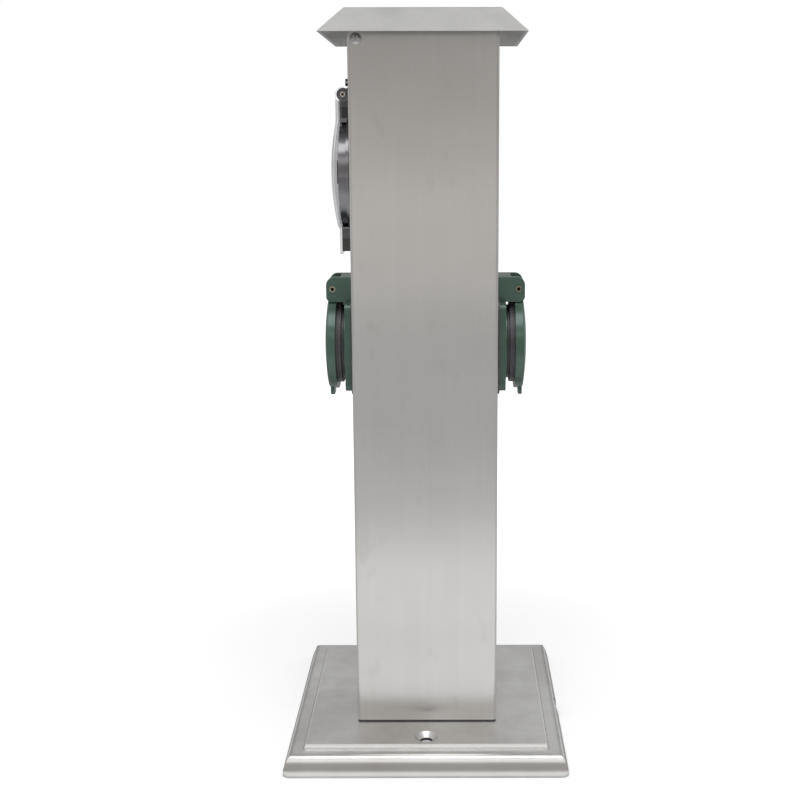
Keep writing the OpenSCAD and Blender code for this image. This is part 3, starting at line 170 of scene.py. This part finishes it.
class Finish(Graph):
    """A material with one Principled shader, built from patterns on Object coordinates."""

    def __init__(self, name, **constants):
        self.material = bpy.data.materials.new(name)
        self.material.use_nodes = True
        super().__init__(self.material.node_tree)
        self.shader = self.tree.nodes["Principled BSDF"]
        self.set(**constants)

    def set(self, **inputs):
        """Sets or links the shader's inputs; an underscore stands for the blank in an input's name."""
        for socket, value in inputs.items():
            self.put(self.shader.inputs[socket.replace("_", " ")], value)

    def place(self, stretch=(1.0, 1.0, 1.0)):
        """Object coordinates in metres, each axis multiplied by its stretch."""
        spot = self.node("ShaderNodeTexCoord", output="Object")
        return self.node("ShaderNodeMapping", None, {"Vector": spot, "Scale": stretch})

    def along(self, axis):
        """The Object coordinate along one axis, in metres."""
        return self.node("ShaderNodeSeparateXYZ", None, {0: self.place()}, axis)

    def noise(self, size, detail, rough=0.5, stretch=(1.0, 1.0, 1.0)):
        """Soft noise from 0 to 1, with lumps of about `size` metres."""
        return self.node("ShaderNodeTexNoise", None, {
            "Vector": self.place(stretch), "Scale": 1.0 / size, "Detail": detail, "Roughness": rough})

    def bump(self, height, depth):
        """Relief of `depth` metres where height goes from 0 to 1."""
        self.set(Normal=self.node(
            "ShaderNodeBump", None, {"Height": height, "Distance": depth, "Strength": 1.0}))


def linear(*rgb):
    """Linear colour from 0 to 255 picture values, by the sRGB curve."""
    shares = [value / 255 for value in rgb]
    return tuple(v / 12.92 if v <= 0.04045 else ((v + 0.055) / 1.055) ** 2.4 for v in shares)


def dress(finish, *names):
    """Gives the finish to every slot of the named construction nodes."""
    for name in names:
        mesh = nodes[name].data
        mesh.materials.clear()
        mesh.materials.append(finish.material)
        dressed.add(name)


dressed = set()
print("mid grey 128 is", [round(v, 3) for v in linear(128, 128, 128)])

# %% [markdown]
# ## The studio
#
# The object stands on a white floor in white light. Brushed steel has hardly a colour of its own: what gives
# the post its fall from light grey at the foot to dark grey under the roof is the floor near it, mirrored
# low down, and the dark room behind the camera, mirrored higher up. So the world is not one grey. For mirror
# rays it has a ceiling and walls that change with height, and the wall on the camera's side is warmer: light
# at the table's far edge, dark at eye level, with a window above. The other walls are dark at the horizon
# too, because rounded steel edges look round only where they pick up a dark line. Matt surfaces get one even
# grey as their fill. For the camera, and for what is seen through clear plastic, the world is plain white.

# %% World
CEILING, FILL = 0.43, 0.60
FRONT_WALL = ((0.440, 0.62), (0.455, 0.95), (0.477, 1.05), (0.492, 0.52), (0.540, 0.42), (0.640, 0.40),
              (0.695, 1.50), (0.745, 1.50), (0.790, 0.34))
OTHER_WALLS = ((0.45, 0.52), (0.51, 0.22), (0.58, 0.26), (0.66, 0.66), (0.85, 0.68))
WHITE, WARM = (1.0, 1.0, 1.0), (1.0, 0.965, 0.930)
world = bpy.data.worlds.new("studio")
bpy.context.scene.world = world
world.use_nodes = True
studio = Graph(world.node_tree)
studio.tree.nodes.clear()


def wall_by_height(stops):
    """Brightness of a wall from the ramp's 0, straight down, over 0.5, the horizon, to 1, straight up."""
    return studio.ramp(height, *stops, kind="EASE")


direction = studio.node("ShaderNodeTexCoord", output="Generated")
backwards = studio.node("ShaderNodeSeparateXYZ", None, {0: direction}, "Y")
upwards = studio.node("ShaderNodeSeparateXYZ", None, {0: direction}, "Z")
front = studio.slope(backwards, -0.35, -0.90)
above = studio.slope(upwards, 0.60, 0.90)
height = studio.slope(upwards, -1.0, 1.0, kind="LINEAR")
wall = studio.mix(front, wall_by_height(OTHER_WALLS), wall_by_height(FRONT_WALL))
mirrored = studio.mix(above, wall, CEILING)
lighting = studio.mix(studio.rays("Glossy"), FILL, mirrored)
seen = studio.maths("MAXIMUM", studio.rays("Camera"), studio.rays("Transmission"))
background = studio.node("ShaderNodeBackground", None, {
    "Color": studio.blend(studio.rays("Glossy") * front, WHITE, WARM),
    "Strength": studio.mix(seen, lighting, 1.0)})
world_out = studio.tree.nodes.new("ShaderNodeOutputWorld")
studio.put(world_out.inputs["Surface"], background)
print("ceiling, fill:", CEILING, FILL, "wall stops:", len(FRONT_WALL), len(OTHER_WALLS))

# %% [markdown]
# The floor is a pale matt sheet. It takes the object's shadow as any sheet does, and a little glow, which
# only the camera and clear plastic see, lifts its unshaded part to white paper. The glow grows with the
# distance from the object, so a soft shadow is left around the tray and the far part melts into the white
# behind it. The photograph was taken on a white table: the foot of the post mirrors the bright table top, and
# from a sharp line upwards the dimmer room beyond its edge. So mirror rays find the sheet brighter close in
# front of the object. The sheet lies a hair lower than the tray's foot, because two faces in one plane
# flicker.

# %% Floor
FLOOR_SIDE, FLOOR_MIDDLE_Y, FLOOR_DROP = 5.0, 0.6, 0.0002
GLOW, FAR_GLOW, TABLE_GLOW = 0.43, 0.25, 0.38
bpy.ops.object.select_all(action="DESELECT")
bpy.ops.mesh.primitive_plane_add(size=FLOOR_SIDE, location=(0.0, FLOOR_MIDDLE_Y, -FLOOR_DROP))
floor = bpy.context.active_object
floor.name = "floor"
bpy.ops.object.transform_apply(location=True)
sheet = Finish("floor_sheet", Base_Color=(0.66, 0.66, 0.66, 1.0), Specular_IOR_Level=0.1)
sheet.set(Roughness=0.85 + sheet.noise(0.35, 1.0) * 0.1)
away = sheet.node("ShaderNodeVectorMath", {"operation": "LENGTH"}, {0: sheet.place()}, "Value")
far = sheet.slope(away, 0.13, 0.50, 0.0, FAR_GLOW)
table = sheet.slope(away, 0.36, 0.50, TABLE_GLOW, 0.0)
before = sheet.slope(sheet.along("Y"), -0.07, -0.10)
lifted = (sheet.rays("Camera") + sheet.rays("Transmission")) * (far + GLOW)
mirrored_table = sheet.rays("Glossy") * table * before
glow = sheet.node("ShaderNodeEmission", None, {"Color": (*WHITE, 1.0), "Strength": lifted + mirrored_table})
both = sheet.node("ShaderNodeAddShader", None, {0: Socket(sheet, sheet.shader.outputs[0]), 1: glow})
sheet.put(sheet.tree.nodes["Material Output"].inputs["Surface"], both)
floor.data.materials.append(sheet.material)
print("floor side in m:", FLOOR_SIDE)

# %% [markdown]
# One large soft box above and in front lights the roof's slope, the tray and the upper sides of the sockets,
# and one tall strip on each side brightens the post's folded edges. All three face the middle of the post.

# %% Lamps
LAMP_AIM = Vector((0.0, 0.0, 0.25))


def soft_box(name, place, size, watts):
    """A rectangular lamp at `place` that faces the post and that the camera can't see."""
    data = bpy.data.lights.new(name, "AREA")
    data.shape, data.size, data.size_y, data.energy = "RECTANGLE", size[0], size[1], watts
    lamp = bpy.data.objects.new(name, data)
    bpy.context.scene.collection.objects.link(lamp)
    lamp.location = place
    lamp.rotation_euler = (LAMP_AIM - Vector(place)).to_track_quat("-Z", "Y").to_euler()
    lamp.visible_camera = False


soft_box("front_box", (0.05, -0.52, 1.28), (1.1, 0.7), 6.6)
soft_box("left_strip", (-1.45, 0.10, 0.75), (0.7, 1.3), 2.0)
soft_box("right_strip", (1.45, 0.25, 0.75), (0.7, 1.3), 2.0)

# %% [markdown]
# ## Brushed stainless steel
#
# The post is bent from sheet that was brushed along its length, so its grain is a forest of hair-thin upright
# lines. They could be an image or real grooves. Here they are noise that is squeezed hard along Z: one
# fine layer for the hairs, one for the wider bands that a brush leaves, and soft clouds, level wipes and a
# few darker smears where the sheet was handled. They move the roughness most, the colour a little and the
# relief hardly at all, because grooves that are too deep turn steel into painted wood. Grooves that run
# upright smear a mirror image sideways and leave it sharp from top to bottom, which is why the tray's image
# in the foot of the post has a clear upper edge. The shader's anisotropy does that.

# %% Post finish
CLEAN_DARK, CLEAN_PALE, SMEARED = (0.575, 0.565, 0.550), (0.670, 0.662, 0.650), (0.42, 0.40, 0.375)
post_steel = Finish("post_steel", Metallic=1.0, Anisotropic=0.85)
hairs = post_steel.noise(0.00045, 2.0, 0.6, (1.0, 1.0, 0.012))
brushed = post_steel.noise(0.0055, 2.0, 0.5, (1.0, 1.0, 0.03))
clouds = post_steel.noise(0.075, 3.0, 0.55, (1.0, 1.0, 0.6))
wipes = post_steel.noise(0.045, 2.0, 0.5, (0.35, 0.35, 1.0))
post_tone = post_steel.ramp(
    hairs * 0.12 + brushed * 0.13 + clouds * 0.40 + wipes * 0.35, (0.34, 0.0), (0.66, 1.0))
smears = post_steel.ramp(post_steel.noise(0.020, 3.0, 0.55, (1.0, 1.0, 0.6)), (0.62, 0.0), (0.80, 1.0))
clean = post_steel.blend(post_tone, CLEAN_DARK, CLEAN_PALE)
post_steel.set(Base_Color=post_steel.blend(smears * 0.35, clean, SMEARED),
               Roughness=0.235 + hairs * 0.05 + clouds * 0.08 + smears * 0.06)
post_steel.bump(hairs * 0.7 + brushed * 0.3, 0.000003)
dress(post_steel, "post")
print("post finish nodes:", len(post_steel.tree.nodes))

# %% [markdown]
# The tray and the roof are pressed from the same sheet, but pressing dulls the brush lines, and both are
# brushed across instead of upright. The roof looks almost matt in the photograph: it was blasted or left
# as rolled. So the tray keeps faint lines along X and a smoother skin, and the roof a fine, even grain. A
# blasted skin scatters much of its light, so to the shader the roof is only about half a metal. The hidden
# plates, brackets and screws are zinc-plated, and the screws that show are smoother and darker.
#
# The edge of the tray's step gets a painted highlight, and the inner corner at its foot a thin line of
# painted shade, which is a little rougher too. Both follow a square, whose distance from the middle is the
# larger of
# |x| and |y|. The skirt gets painted reflections by height: painted highlights where it bends and painted shade
# on the slope between its two bends. Each of these marks is given as its place and its width, or half its
# width, in metres.

# %% Tray, roof and small steel finishes
STEP_HALF_SIDE, STEP_EDGE = 0.0674, 0.0007
UPPER_BEND, SKIRT_SLOPE, LOWER_BEND = (0.0089, 0.0012), (0.0056, 0.0026), (0.0021, 0.0016)
# Colours of the painted highlights and the painted shade on the tray's step and skirt.
PAINTED_STEP_HIGHLIGHT, PAINTED_STEP_SHADE = (0.86, 0.86, 0.85), (0.20, 0.195, 0.19)
PAINTED_BEND_HIGHLIGHT, PAINTED_SLOPE_SHADE = (0.95, 0.95, 0.94), (0.30, 0.295, 0.29)


def square_line(finish, half_side, width):
    """1 on the outline of a square around the post, falling to 0 at `width` metres inwards and outwards."""
    from_middle = finish.maths("MAXIMUM", abs(finish.along("X")), abs(finish.along("Y")))
    return finish.slope(abs(from_middle - half_side), 0.0, width, 1.0, 0.0)


def level_band(finish, middle, half):
    """1 at the height `middle`, falling to 0 at `half` metres above and below."""
    return finish.slope(abs(finish.along("Z") - middle), half * 0.4, half, 1.0, 0.0)


def pressed_marks(finish, tone, gloss, stain):
    """Adds the tray's painted light to a tone and a gloss: a painted highlight on the step's edge, painted
    shade at its foot and on the skirt's slope, and painted highlights on the skirt's bends.
    """
    # Masks for the painted highlight on the step's edge and the line of painted shade at its foot, which is
    # also rougher.
    step_highlight = square_line(finish, STEP_HALF_SIDE, STEP_EDGE)
    dull = square_line(finish, STEP_HALF_SIDE + 1.3 * STEP_EDGE, 0.7 * STEP_EDGE)
    bend_highlights = level_band(finish, *UPPER_BEND) + level_band(finish, *LOWER_BEND)
    # Painted shade at the step's foot, a painted highlight on its edge, painted shade on the skirt's slope
    # and painted highlights on its bends.
    tone = finish.blend(dull * (0.20 + stain * 0.4), tone, PAINTED_STEP_SHADE)
    tone = finish.blend(step_highlight, tone, PAINTED_STEP_HIGHLIGHT)
    tone = finish.blend(level_band(finish, *SKIRT_SLOPE) * 0.70, tone, PAINTED_SLOPE_SHADE)
    tone = finish.blend(bend_highlights * 0.75, tone, PAINTED_BEND_HIGHLIGHT)
    return tone, gloss - step_highlight * 0.16 + dull * 0.10


def sheet_steel(name, dark, pale, rough, spread, stretch, depth, marks=None, metal=1.0):
    """Steel sheet, faintly lined along the axis whose stretch is small. `marks` adds a piece's painted
    highlights and painted shade.
    """
    made = Finish(name, Metallic=metal)
    lines = made.noise(0.0006, 2.0, 0.6, stretch)
    cloud = made.noise(0.05, 3.0, 0.55)
    grain = made.noise(0.00025, 1.0, 0.5)
    stain = made.noise(0.016, 4.0, 0.6)
    tone = made.blend(
        made.ramp(lines * 0.10 + cloud * 0.52 + stain * 0.38, (0.38, 0.0), (0.62, 1.0)), dark, pale)
    gloss = rough + lines * spread + stain * 0.10 + grain * 0.05
    if marks:
        tone, gloss = marks(made, tone, gloss, stain)
    made.set(Base_Color=tone, Roughness=gloss)
    made.bump(lines * 0.6 + grain * 0.4, depth)
    return made


tray_steel = sheet_steel(
    "tray_steel", (0.54, 0.53, 0.515), (0.70, 0.695, 0.685), 0.26, 0.04, (0.015, 1.0, 1.0), 0.000003,
    marks=pressed_marks)
roof_steel = sheet_steel(
    "roof_steel", (0.41, 0.407, 0.40), (0.49, 0.487, 0.48), 0.44, 0.05, (0.02, 0.8, 1.0), 0.000010,
    metal=0.55)
zinc_steel = sheet_steel(
    "zinc_steel", (0.50, 0.51, 0.53), (0.68, 0.69, 0.71), 0.30, 0.10, (0.5, 0.5, 0.5), 0.000014)
dress(tray_steel, "base_tray")
dress(roof_steel, "roof_cap")
dress(zinc_steel, "foot_plate", "roof_bracket", "terminal_bracket", "foot_screws", "contact_screws",
      "left_lid_spring", "right_lid_spring", "spindle", "drive_pinion", "timer_motor")

screw_chrome = Finish("screw_chrome", Metallic=1.0)
turned = screw_chrome.noise(0.0002, 1.0, 0.5)
screw_tone = screw_chrome.noise(0.002, 2.0, 0.5)
screw_chrome.set(Base_Color=screw_chrome.blend(screw_tone, (0.34, 0.335, 0.33), (0.52, 0.515, 0.51)),
                 Roughness=0.12 + screw_tone * 0.08 + turned * 0.06)
screw_chrome.bump(turned, 0.000004)
dress(screw_chrome, "roof_screws", "socket_screws", "timer_screws")
print("tray finish nodes:", len(tray_steel.tree.nodes))

# %% [markdown]
# ## Brass
#
# Brass goes dull in patches where the air reaches it, so a cloud pattern turns its colour from fresh
# yellow to a browner tone and makes the brown places rougher. The hinge pins are rolled from brass strip and
# hollow. Their bores see no light, so painted shade colours them black up to the bore's radius, measured
# from the pin's own axis. The right-hand pin of the pictured post is darker than the left one, so the brass
# is darkened on the right side.

# %% Brass finishes
HINGE_BORE, TIMER_BORE = 0.00092, 0.00068
DARKER_BRASS, PAINTED_BORE_SHADE = (0.10, 0.10, 0.085), (0.012, 0.011, 0.010)


def inside_bore(finish, centre_x, centre_z, radius):
    """1 within the radius of a line along Y at height centre_z, on both sides of the post alike."""
    across = abs(finish.along("X")) - centre_x
    up = finish.along("Z") - centre_z
    return finish.slope((across * across + up * up) ** 0.5, radius, radius * 1.12, 1.0, 0.0, "LINEAR")


def pin_line(name):
    """Distance of the pins' axis from the middle of the post, and its height."""
    low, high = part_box(name)
    radius = (high.z - low.z) / 2
    return max(abs(low.x), abs(high.x)) - radius, low.z + radius


def brass_metal(name, fresh, dull, rough, bore=None, dull_side=0.0):
    """Patchy brass. `bore` is a hollow pin's line and radius, inside which black shade is painted;
    `dull_side` how much darker the right side is.
    """
    made = Finish(name, Metallic=1.0)
    patches = made.ramp(made.noise(0.004, 3.0, 0.6), (0.42, 0.0), (0.68, 1.0))
    grain = made.noise(0.0003, 1.0, 0.5)
    tone = made.blend(patches, fresh, dull)
    if dull_side:
        right = made.slope(made.along("X"), 0.0, 0.001, 0.0, dull_side, "LINEAR")
        tone = made.blend(right, tone, DARKER_BRASS)
    # Painted shade: the hollow pin's bore is coloured black, as no light reaches in.
    if bore:
        tone = made.blend(inside_bore(made, *bore), tone, PAINTED_BORE_SHADE)
    made.set(Base_Color=tone, Roughness=rough + patches * 0.16 + grain * 0.05)
    made.bump(grain, 0.000004)
    return made


brass = brass_metal("brass", (0.80, 0.60, 0.27), (0.60, 0.43, 0.20), 0.22)
pin_brass = brass_metal(
    "pin_brass", (0.46, 0.42, 0.30), (0.30, 0.28, 0.21), 0.28, (*pin_line("hinge_pins"), HINGE_BORE), 0.6)
timer_pin_brass = brass_metal(
    "timer_pin_brass", (0.58, 0.56, 0.50), (0.42, 0.40, 0.36), 0.24, (*pin_line("timer_lid_pin"), TIMER_BORE))
dress(brass, "terminal_clamps", "earth_stud", "left_contacts", "right_contacts", "left_earth_clip",
      "right_earth_clip", "movement_plate", "switch_lever")
dress(pin_brass, "hinge_pins")
dress(timer_pin_brass, "timer_lid_pin")
print("pin lines:", [[round(1000 * v, 1) for v in pin_line(n)] for n in ("hinge_pins", "timer_lid_pin")])
print("dressed so far:", len(dressed))

# %% [markdown]
# ## Moulded plastics
#
# An outdoor socket is moulded from tough polyamide in a mould that was sparked to a fine texture. The
# texture breaks the gloss into a soft sheen. It is cell noise of about half a millimetre, in the relief only.
# A flat colour would still look like a toy, so a slow flow pattern changes the tone a little, as the melt
# does in the mould, and dust and handling make the skin rougher here and there. The sockets' green stays
# green in its highlights too, so its gloss is tinted, and a thin coat gives the sheen of new plastic.

# %% Moulded finishes
def moulded(name, dark, pale, rough, depth=0.000008, grain=0.0006, **constants):
    """Textured moulding: flow marks in the tone, spark texture in the relief."""
    made = Finish(name, **constants)
    flow = made.noise(0.018, 3.0, 0.55)
    dust = made.noise(0.0035, 2.0, 0.5)
    cells = made.node("ShaderNodeTexVoronoi", {"feature": "SMOOTH_F1"}, {
        "Vector": made.place(), "Scale": 1.0 / grain, "Smoothness": 0.6}, "Distance")
    patches = made.ramp(flow * 0.75 + dust * 0.25, (0.34, 0.0), (0.66, 1.0))
    made.set(Base_Color=made.blend(patches, dark, pale), Roughness=rough + dust * 0.10 + flow * 0.06)
    made.bump(cells * 0.8 + dust * 0.2, depth)
    return made


green_plastic = moulded(
    "green_plastic", linear(50, 76, 62), linear(62, 89, 74), 0.22, Specular_IOR_Level=0.75,
    Specular_Tint=(0.80, 1.0, 0.97, 1.0), Coat_Weight=0.2, Coat_Roughness=0.14)
black_plastic = moulded("black_plastic", linear(44, 43, 46), linear(58, 57, 60), 0.30)
gland_grey = moulded("gland_grey", linear(118, 121, 124), linear(136, 139, 141), 0.40)
terminal_white = moulded("terminal_white", linear(212, 210, 200), linear(224, 222, 213), 0.36)
dial_plastic = moulded("dial_plastic", linear(214, 214, 210), linear(226, 226, 222), 0.28, 0.00001)
tappet_plastic = moulded("tappet_plastic", linear(58, 76, 104), linear(72, 92, 122), 0.32, 0.00001)
red_plastic = moulded("red_plastic", linear(96, 48, 45), linear(110, 56, 52), 0.28, 0.00001)
dress(green_plastic, "left_socket_front", "right_socket_front", "left_lid", "right_lid")
dress(black_plastic, "timer_terminals", "micro_switch", "left_contact_carrier", "right_contact_carrier")
dress(gland_grey, "gland_body", "gland_dome_nut", "gland_lock_nut")
dress(terminal_white, "terminal_block", "timer_housing")
dress(dial_plastic, "dial")
dress(tappet_plastic, "night_tappets", "morning_tappets", "afternoon_tappets", "evening_tappets")
dress(red_plastic, "override_knob")
print("dressed so far:", len(dressed))

# %% [markdown]
# The timer's round frame isn't textured. The photograph shows its collar with hard, mirror-like bands: a
# nearly white one where it faces the lamp and dark ones beside it, much stronger than plain plastic gives.
# That is a metallic-grey moulding under a gloss coat, so it is mostly metal to the shader. The hinge block
# above and the catch block below are plain black plastic, each with a painted highlight across: a lighter,
# rougher band where a ledge would catch the light. The two finishes meet at the collar's radius, measured
# from the dial's axis. A band is given as its height over that axis and its width.

# %% Timer frame finish
COLLAR_R, COLLAR_BLUR = 0.0332, 0.0002
HINGE_BAND, CATCH_BAND, BAND_BLUR = (0.0386, 0.0056), (-0.0338, 0.0045), 0.0004
dial_low, dial_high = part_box("dial")
dial_middle = (dial_low + dial_high) / 2
timer_grey = Finish("timer_grey", Coat_Weight=0.4, Coat_Roughness=0.06)
level = timer_grey.along("Z") - dial_middle.z
beside = timer_grey.along("Y") - dial_middle.y
from_axis = (level * level + beside * beside) ** 0.5
collar = timer_grey.slope(from_axis, COLLAR_R, COLLAR_R + COLLAR_BLUR, 1.0, 0.0, "LINEAR")


def satin_band(middle, width):
    """1 within a level band of painted highlight, whose middle is so far above the dial's axis, with soft
    edges.
    """
    return timer_grey.slope(abs(level - middle), width / 2 - BAND_BLUR, width / 2 + BAND_BLUR, 1.0, 0.0)


bands = satin_band(*HINGE_BAND) + satin_band(*CATCH_BAND)
flakes = timer_grey.noise(0.0003, 1.0, 0.5)
smear = timer_grey.noise(0.008, 2.0, 0.5)
metallic_tone = timer_grey.blend(smear, (0.165, 0.162, 0.172), (0.225, 0.222, 0.232))
black_tone = timer_grey.blend(smear, (0.010, 0.010, 0.011), (0.020, 0.020, 0.021))
# Painted highlight: the bands are a lighter grey on the black blocks.
block_tone = timer_grey.blend(bands, black_tone, (0.085, 0.083, 0.087))
timer_grey.set(Base_Color=timer_grey.blend(collar, block_tone, metallic_tone),
               Roughness=0.17 + smear * 0.08 + flakes * 0.05 + bands * 0.12, Metallic=collar * 0.95)
timer_grey.bump(flakes, 0.000003)
dress(timer_grey, "timer_frame")
print("collar radius in mm:", 1000 * COLLAR_R)

# %% [markdown]
# ## Rubber, insulation and the clear lid
#
# Rubber seals are matt and a little dusty, with a bloom that greys them in patches. Insulation is smooth PVC,
# and the earth wire carries two colours in stripes, which a slanting wave gives. The clear lid is the only
# piece that light goes through. Glass that bends light would turn its thin rim black, because the rim gathers
# the dark frame, while the real rim is pale. So the lid is partly see-through paint under a gloss coat:
# nearly clear where it is looked at squarely, and milky lavender-grey where it turns away.

# %% Rubber, wire and clear finishes
seal_rubber = Finish("seal_rubber", Specular_IOR_Level=0.7)
bloom = seal_rubber.ramp(seal_rubber.noise(0.006, 3.0, 0.6), (0.40, 0.0), (0.72, 1.0))
skin = seal_rubber.noise(0.0004, 2.0, 0.6)
seal_rubber.set(Base_Color=seal_rubber.blend(bloom, linear(56, 53, 58), linear(82, 78, 84)),
                Roughness=0.34 + bloom * 0.16 + skin * 0.08)
seal_rubber.bump(skin, 0.00002)
dress(seal_rubber, "foot_gasket", "gland_seal", "left_socket_gasket", "right_socket_gasket",
      "left_lid_seal", "right_lid_seal", "timer_gasket")


def insulation(name, dark, pale):
    """Smooth wire insulation with faint marks drawn out along the height."""
    made = Finish(name)
    drawn = made.noise(0.002, 2.0, 0.5, (1.0, 1.0, 0.2))
    made.set(Base_Color=made.blend(drawn, dark, pale), Roughness=0.30 + drawn * 0.14)
    made.bump(drawn, 0.00002)
    return made


live_wire = insulation("live_wire", linear(84, 50, 30), linear(104, 64, 40))
neutral_wire = insulation("neutral_wire", linear(36, 72, 140), linear(48, 88, 164))
earth_wire = Finish("earth_wire")
wave = earth_wire.node("ShaderNodeTexWave", {"wave_type": "BANDS", "bands_direction": "DIAGONAL"}, {
    "Vector": earth_wire.place(), "Scale": 90.0, "Distortion": 0.4})
stripe = earth_wire.ramp(wave, (0.46, 0.0), (0.54, 1.0))
earth_wire.set(Base_Color=earth_wire.blend(stripe, linear(46, 128, 58), linear(214, 196, 52)),
               Roughness=0.30 + earth_wire.noise(0.003, 2.0) * 0.14)
dress(live_wire, "supply_live_wire", "switched_live_wires")
dress(neutral_wire, "neutral_wires")
dress(earth_wire, "earth_wires")

clear_plastic = Finish("clear_plastic", Coat_Weight=1.0, Coat_Roughness=0.04, Specular_IOR_Level=0.8)
haze = clear_plastic.noise(0.008, 2.0)
turned_away = clear_plastic.node("ShaderNodeLayerWeight", None, {"Blend": 0.45}, "Facing")
clear_plastic.set(Base_Color=clear_plastic.blend(haze, linear(216, 216, 226), linear(230, 230, 240)),
                  Roughness=0.08 + haze * 0.08, Alpha=0.04 + turned_away * 0.60 + haze * 0.04)
dress(clear_plastic, "timer_lid")
print("dressed:", len(dressed), "left:", sorted(set(nodes) - dressed))

# %% [markdown]
# ## Printing on the timer's dial
#
# The day dial carries the hours. On the real one they are hot-stamped: a thin foil of ink pressed on the
# plastic. They could be painted by a shader, but figures have no simple formula. So they are text objects,
# turned into meshes and laid on the dial's face a tenth of a millimetre proud. The hours run clockwise from
# the first tappet, so that each quarter of the day belongs to one bank of tappets. They are drawn flat around
# the origin. One matrix then takes the drawing's X to -Y, its Y to Z and its front to -X, onto the dial.

# %% Helpers for small pieces
FACE_X = dial_low.x
TO_DIAL = Matrix(((0, 0, -1, FACE_X), (-1, 0, 0, dial_middle.y), (0, 1, 0, dial_middle.z), (0, 0, 0, 1)))


def only(*pieces):
    """Selects these objects alone; the last one becomes the active one."""
    bpy.ops.object.select_all(action="DESELECT")
    for piece in pieces:
        piece.select_set(True)
    bpy.context.view_layer.objects.active = pieces[-1]


def soft_bar(name, middle, size, bevel, segments):
    """A straight bar with softened edges, with its place in its mesh."""
    bpy.ops.object.select_all(action="DESELECT")
    bpy.ops.mesh.primitive_cube_add(size=1.0, location=middle)
    bar = bpy.context.active_object
    bar.name, bar.scale = name, size
    bpy.ops.object.transform_apply(location=True, scale=True)
    bpy.ops.object.mode_set(mode="EDIT")
    bpy.ops.mesh.bevel(offset=bevel, segments=segments, affect="EDGES")
    bpy.ops.object.mode_set(mode="OBJECT")
    return bar


def copied(piece, matrix):
    """A copy with its own mesh, moved by the matrix."""
    twin = piece.copy()
    twin.data = piece.data.copy()
    twin.data.transform(matrix)
    bpy.context.scene.collection.objects.link(twin)
    return twin


def joined(name, pieces):
    """One piece made of several, with its place in its mesh."""
    only(*pieces)
    bpy.ops.object.join()
    whole = bpy.context.active_object
    whole.name = name
    bpy.ops.object.transform_apply(location=True, rotation=True, scale=True)
    return whole


print("dial face at x", round(1000 * FACE_X, 2), "centre", [round(1000 * v, 2) for v in dial_middle])

# %% Hour figures
HOURS, FIGURE_R, FIGURE_SIZE = 24, 0.0160, 0.0040
HALF_INK = 0.00005


def at_hour(hour):
    """Turns what points straight up to its hour; the first hour points left."""
    return Matrix.Rotation(math.pi / 2 - 2 * math.pi * hour / HOURS, 4, "Z")


figures = []
for hour in range(0, HOURS, 2):
    bpy.ops.object.text_add()
    figure = bpy.context.active_object
    figure.data.body = str(hour)
    figure.data.size, figure.data.extrude, figure.data.resolution_u = FIGURE_SIZE, HALF_INK, 4
    figure.data.align_x, figure.data.align_y = "CENTER", "CENTER"
    only(figure)
    bpy.ops.object.convert(target="MESH")
    figure = bpy.context.active_object
    figure.data.transform(TO_DIAL @ at_hour(hour) @ Matrix.Translation((0.0, FIGURE_R, HALF_INK)))
    figures.append(figure)
print("figures:", len(figures))

# %% Hour strokes
LONG, SHORT, STROKE_END = 0.0024, 0.0014, 0.0219
STROKE_WIDTH, STROKE_BEVEL = 0.00045, 0.00003
strokes = []
for length, hours in ((LONG, range(0, HOURS, 2)), (SHORT, range(1, HOURS, 2))):
    stroke = soft_bar("stroke", (0.0, STROKE_END - length / 2, HALF_INK),
                      (STROKE_WIDTH, length, 2 * HALF_INK), STROKE_BEVEL, 2)
    for hour in hours:
        strokes.append(copied(stroke, TO_DIAL @ at_hour(hour)))
    bpy.data.objects.remove(stroke)
dial_print = joined("dial_print", figures + strokes)
ink = moulded("dial_ink", linear(30, 30, 34), linear(44, 44, 48), 0.40, 0.000004, 0.0002)
dial_print.data.materials.clear()
dial_print.data.materials.append(ink.material)
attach(dial_print, "dial")
print("dial print triangles:", sum(len(p.vertices) - 2 for p in dial_print.data.polygons))

# %% [markdown]
# The override knob has a pale stroke on its grip, so that its position can be read. On the real knob it is
# an inlay, pressed into a groove. A flat bar with softened edges, sunk by half its thickness, looks the same.

# %% Knob inlay
INLAY_SIZE, INLAY_UP, INLAY_BEVEL = (0.00024, 0.0009, 0.0036), 0.0040, 0.00008
knob_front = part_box("override_knob")[0].x
inlay_middle = (knob_front, dial_middle.y, dial_middle.z + INLAY_UP)
inlay = soft_bar("knob_inlay", inlay_middle, INLAY_SIZE, INLAY_BEVEL, 3)
bpy.ops.object.shade_smooth_by_angle(angle=math.radians(40))
inlay.data.materials.append(dial_plastic.material)
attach(inlay, "override_knob")
print("knob front at x", round(1000 * knob_front, 2))

# %% [markdown]
# ## Finish
#
# The last cell closes the scene. The Standard view keeps the colours as they are set.

# %% Close the scene
bpy.context.scene.view_settings.view_transform = "Standard"
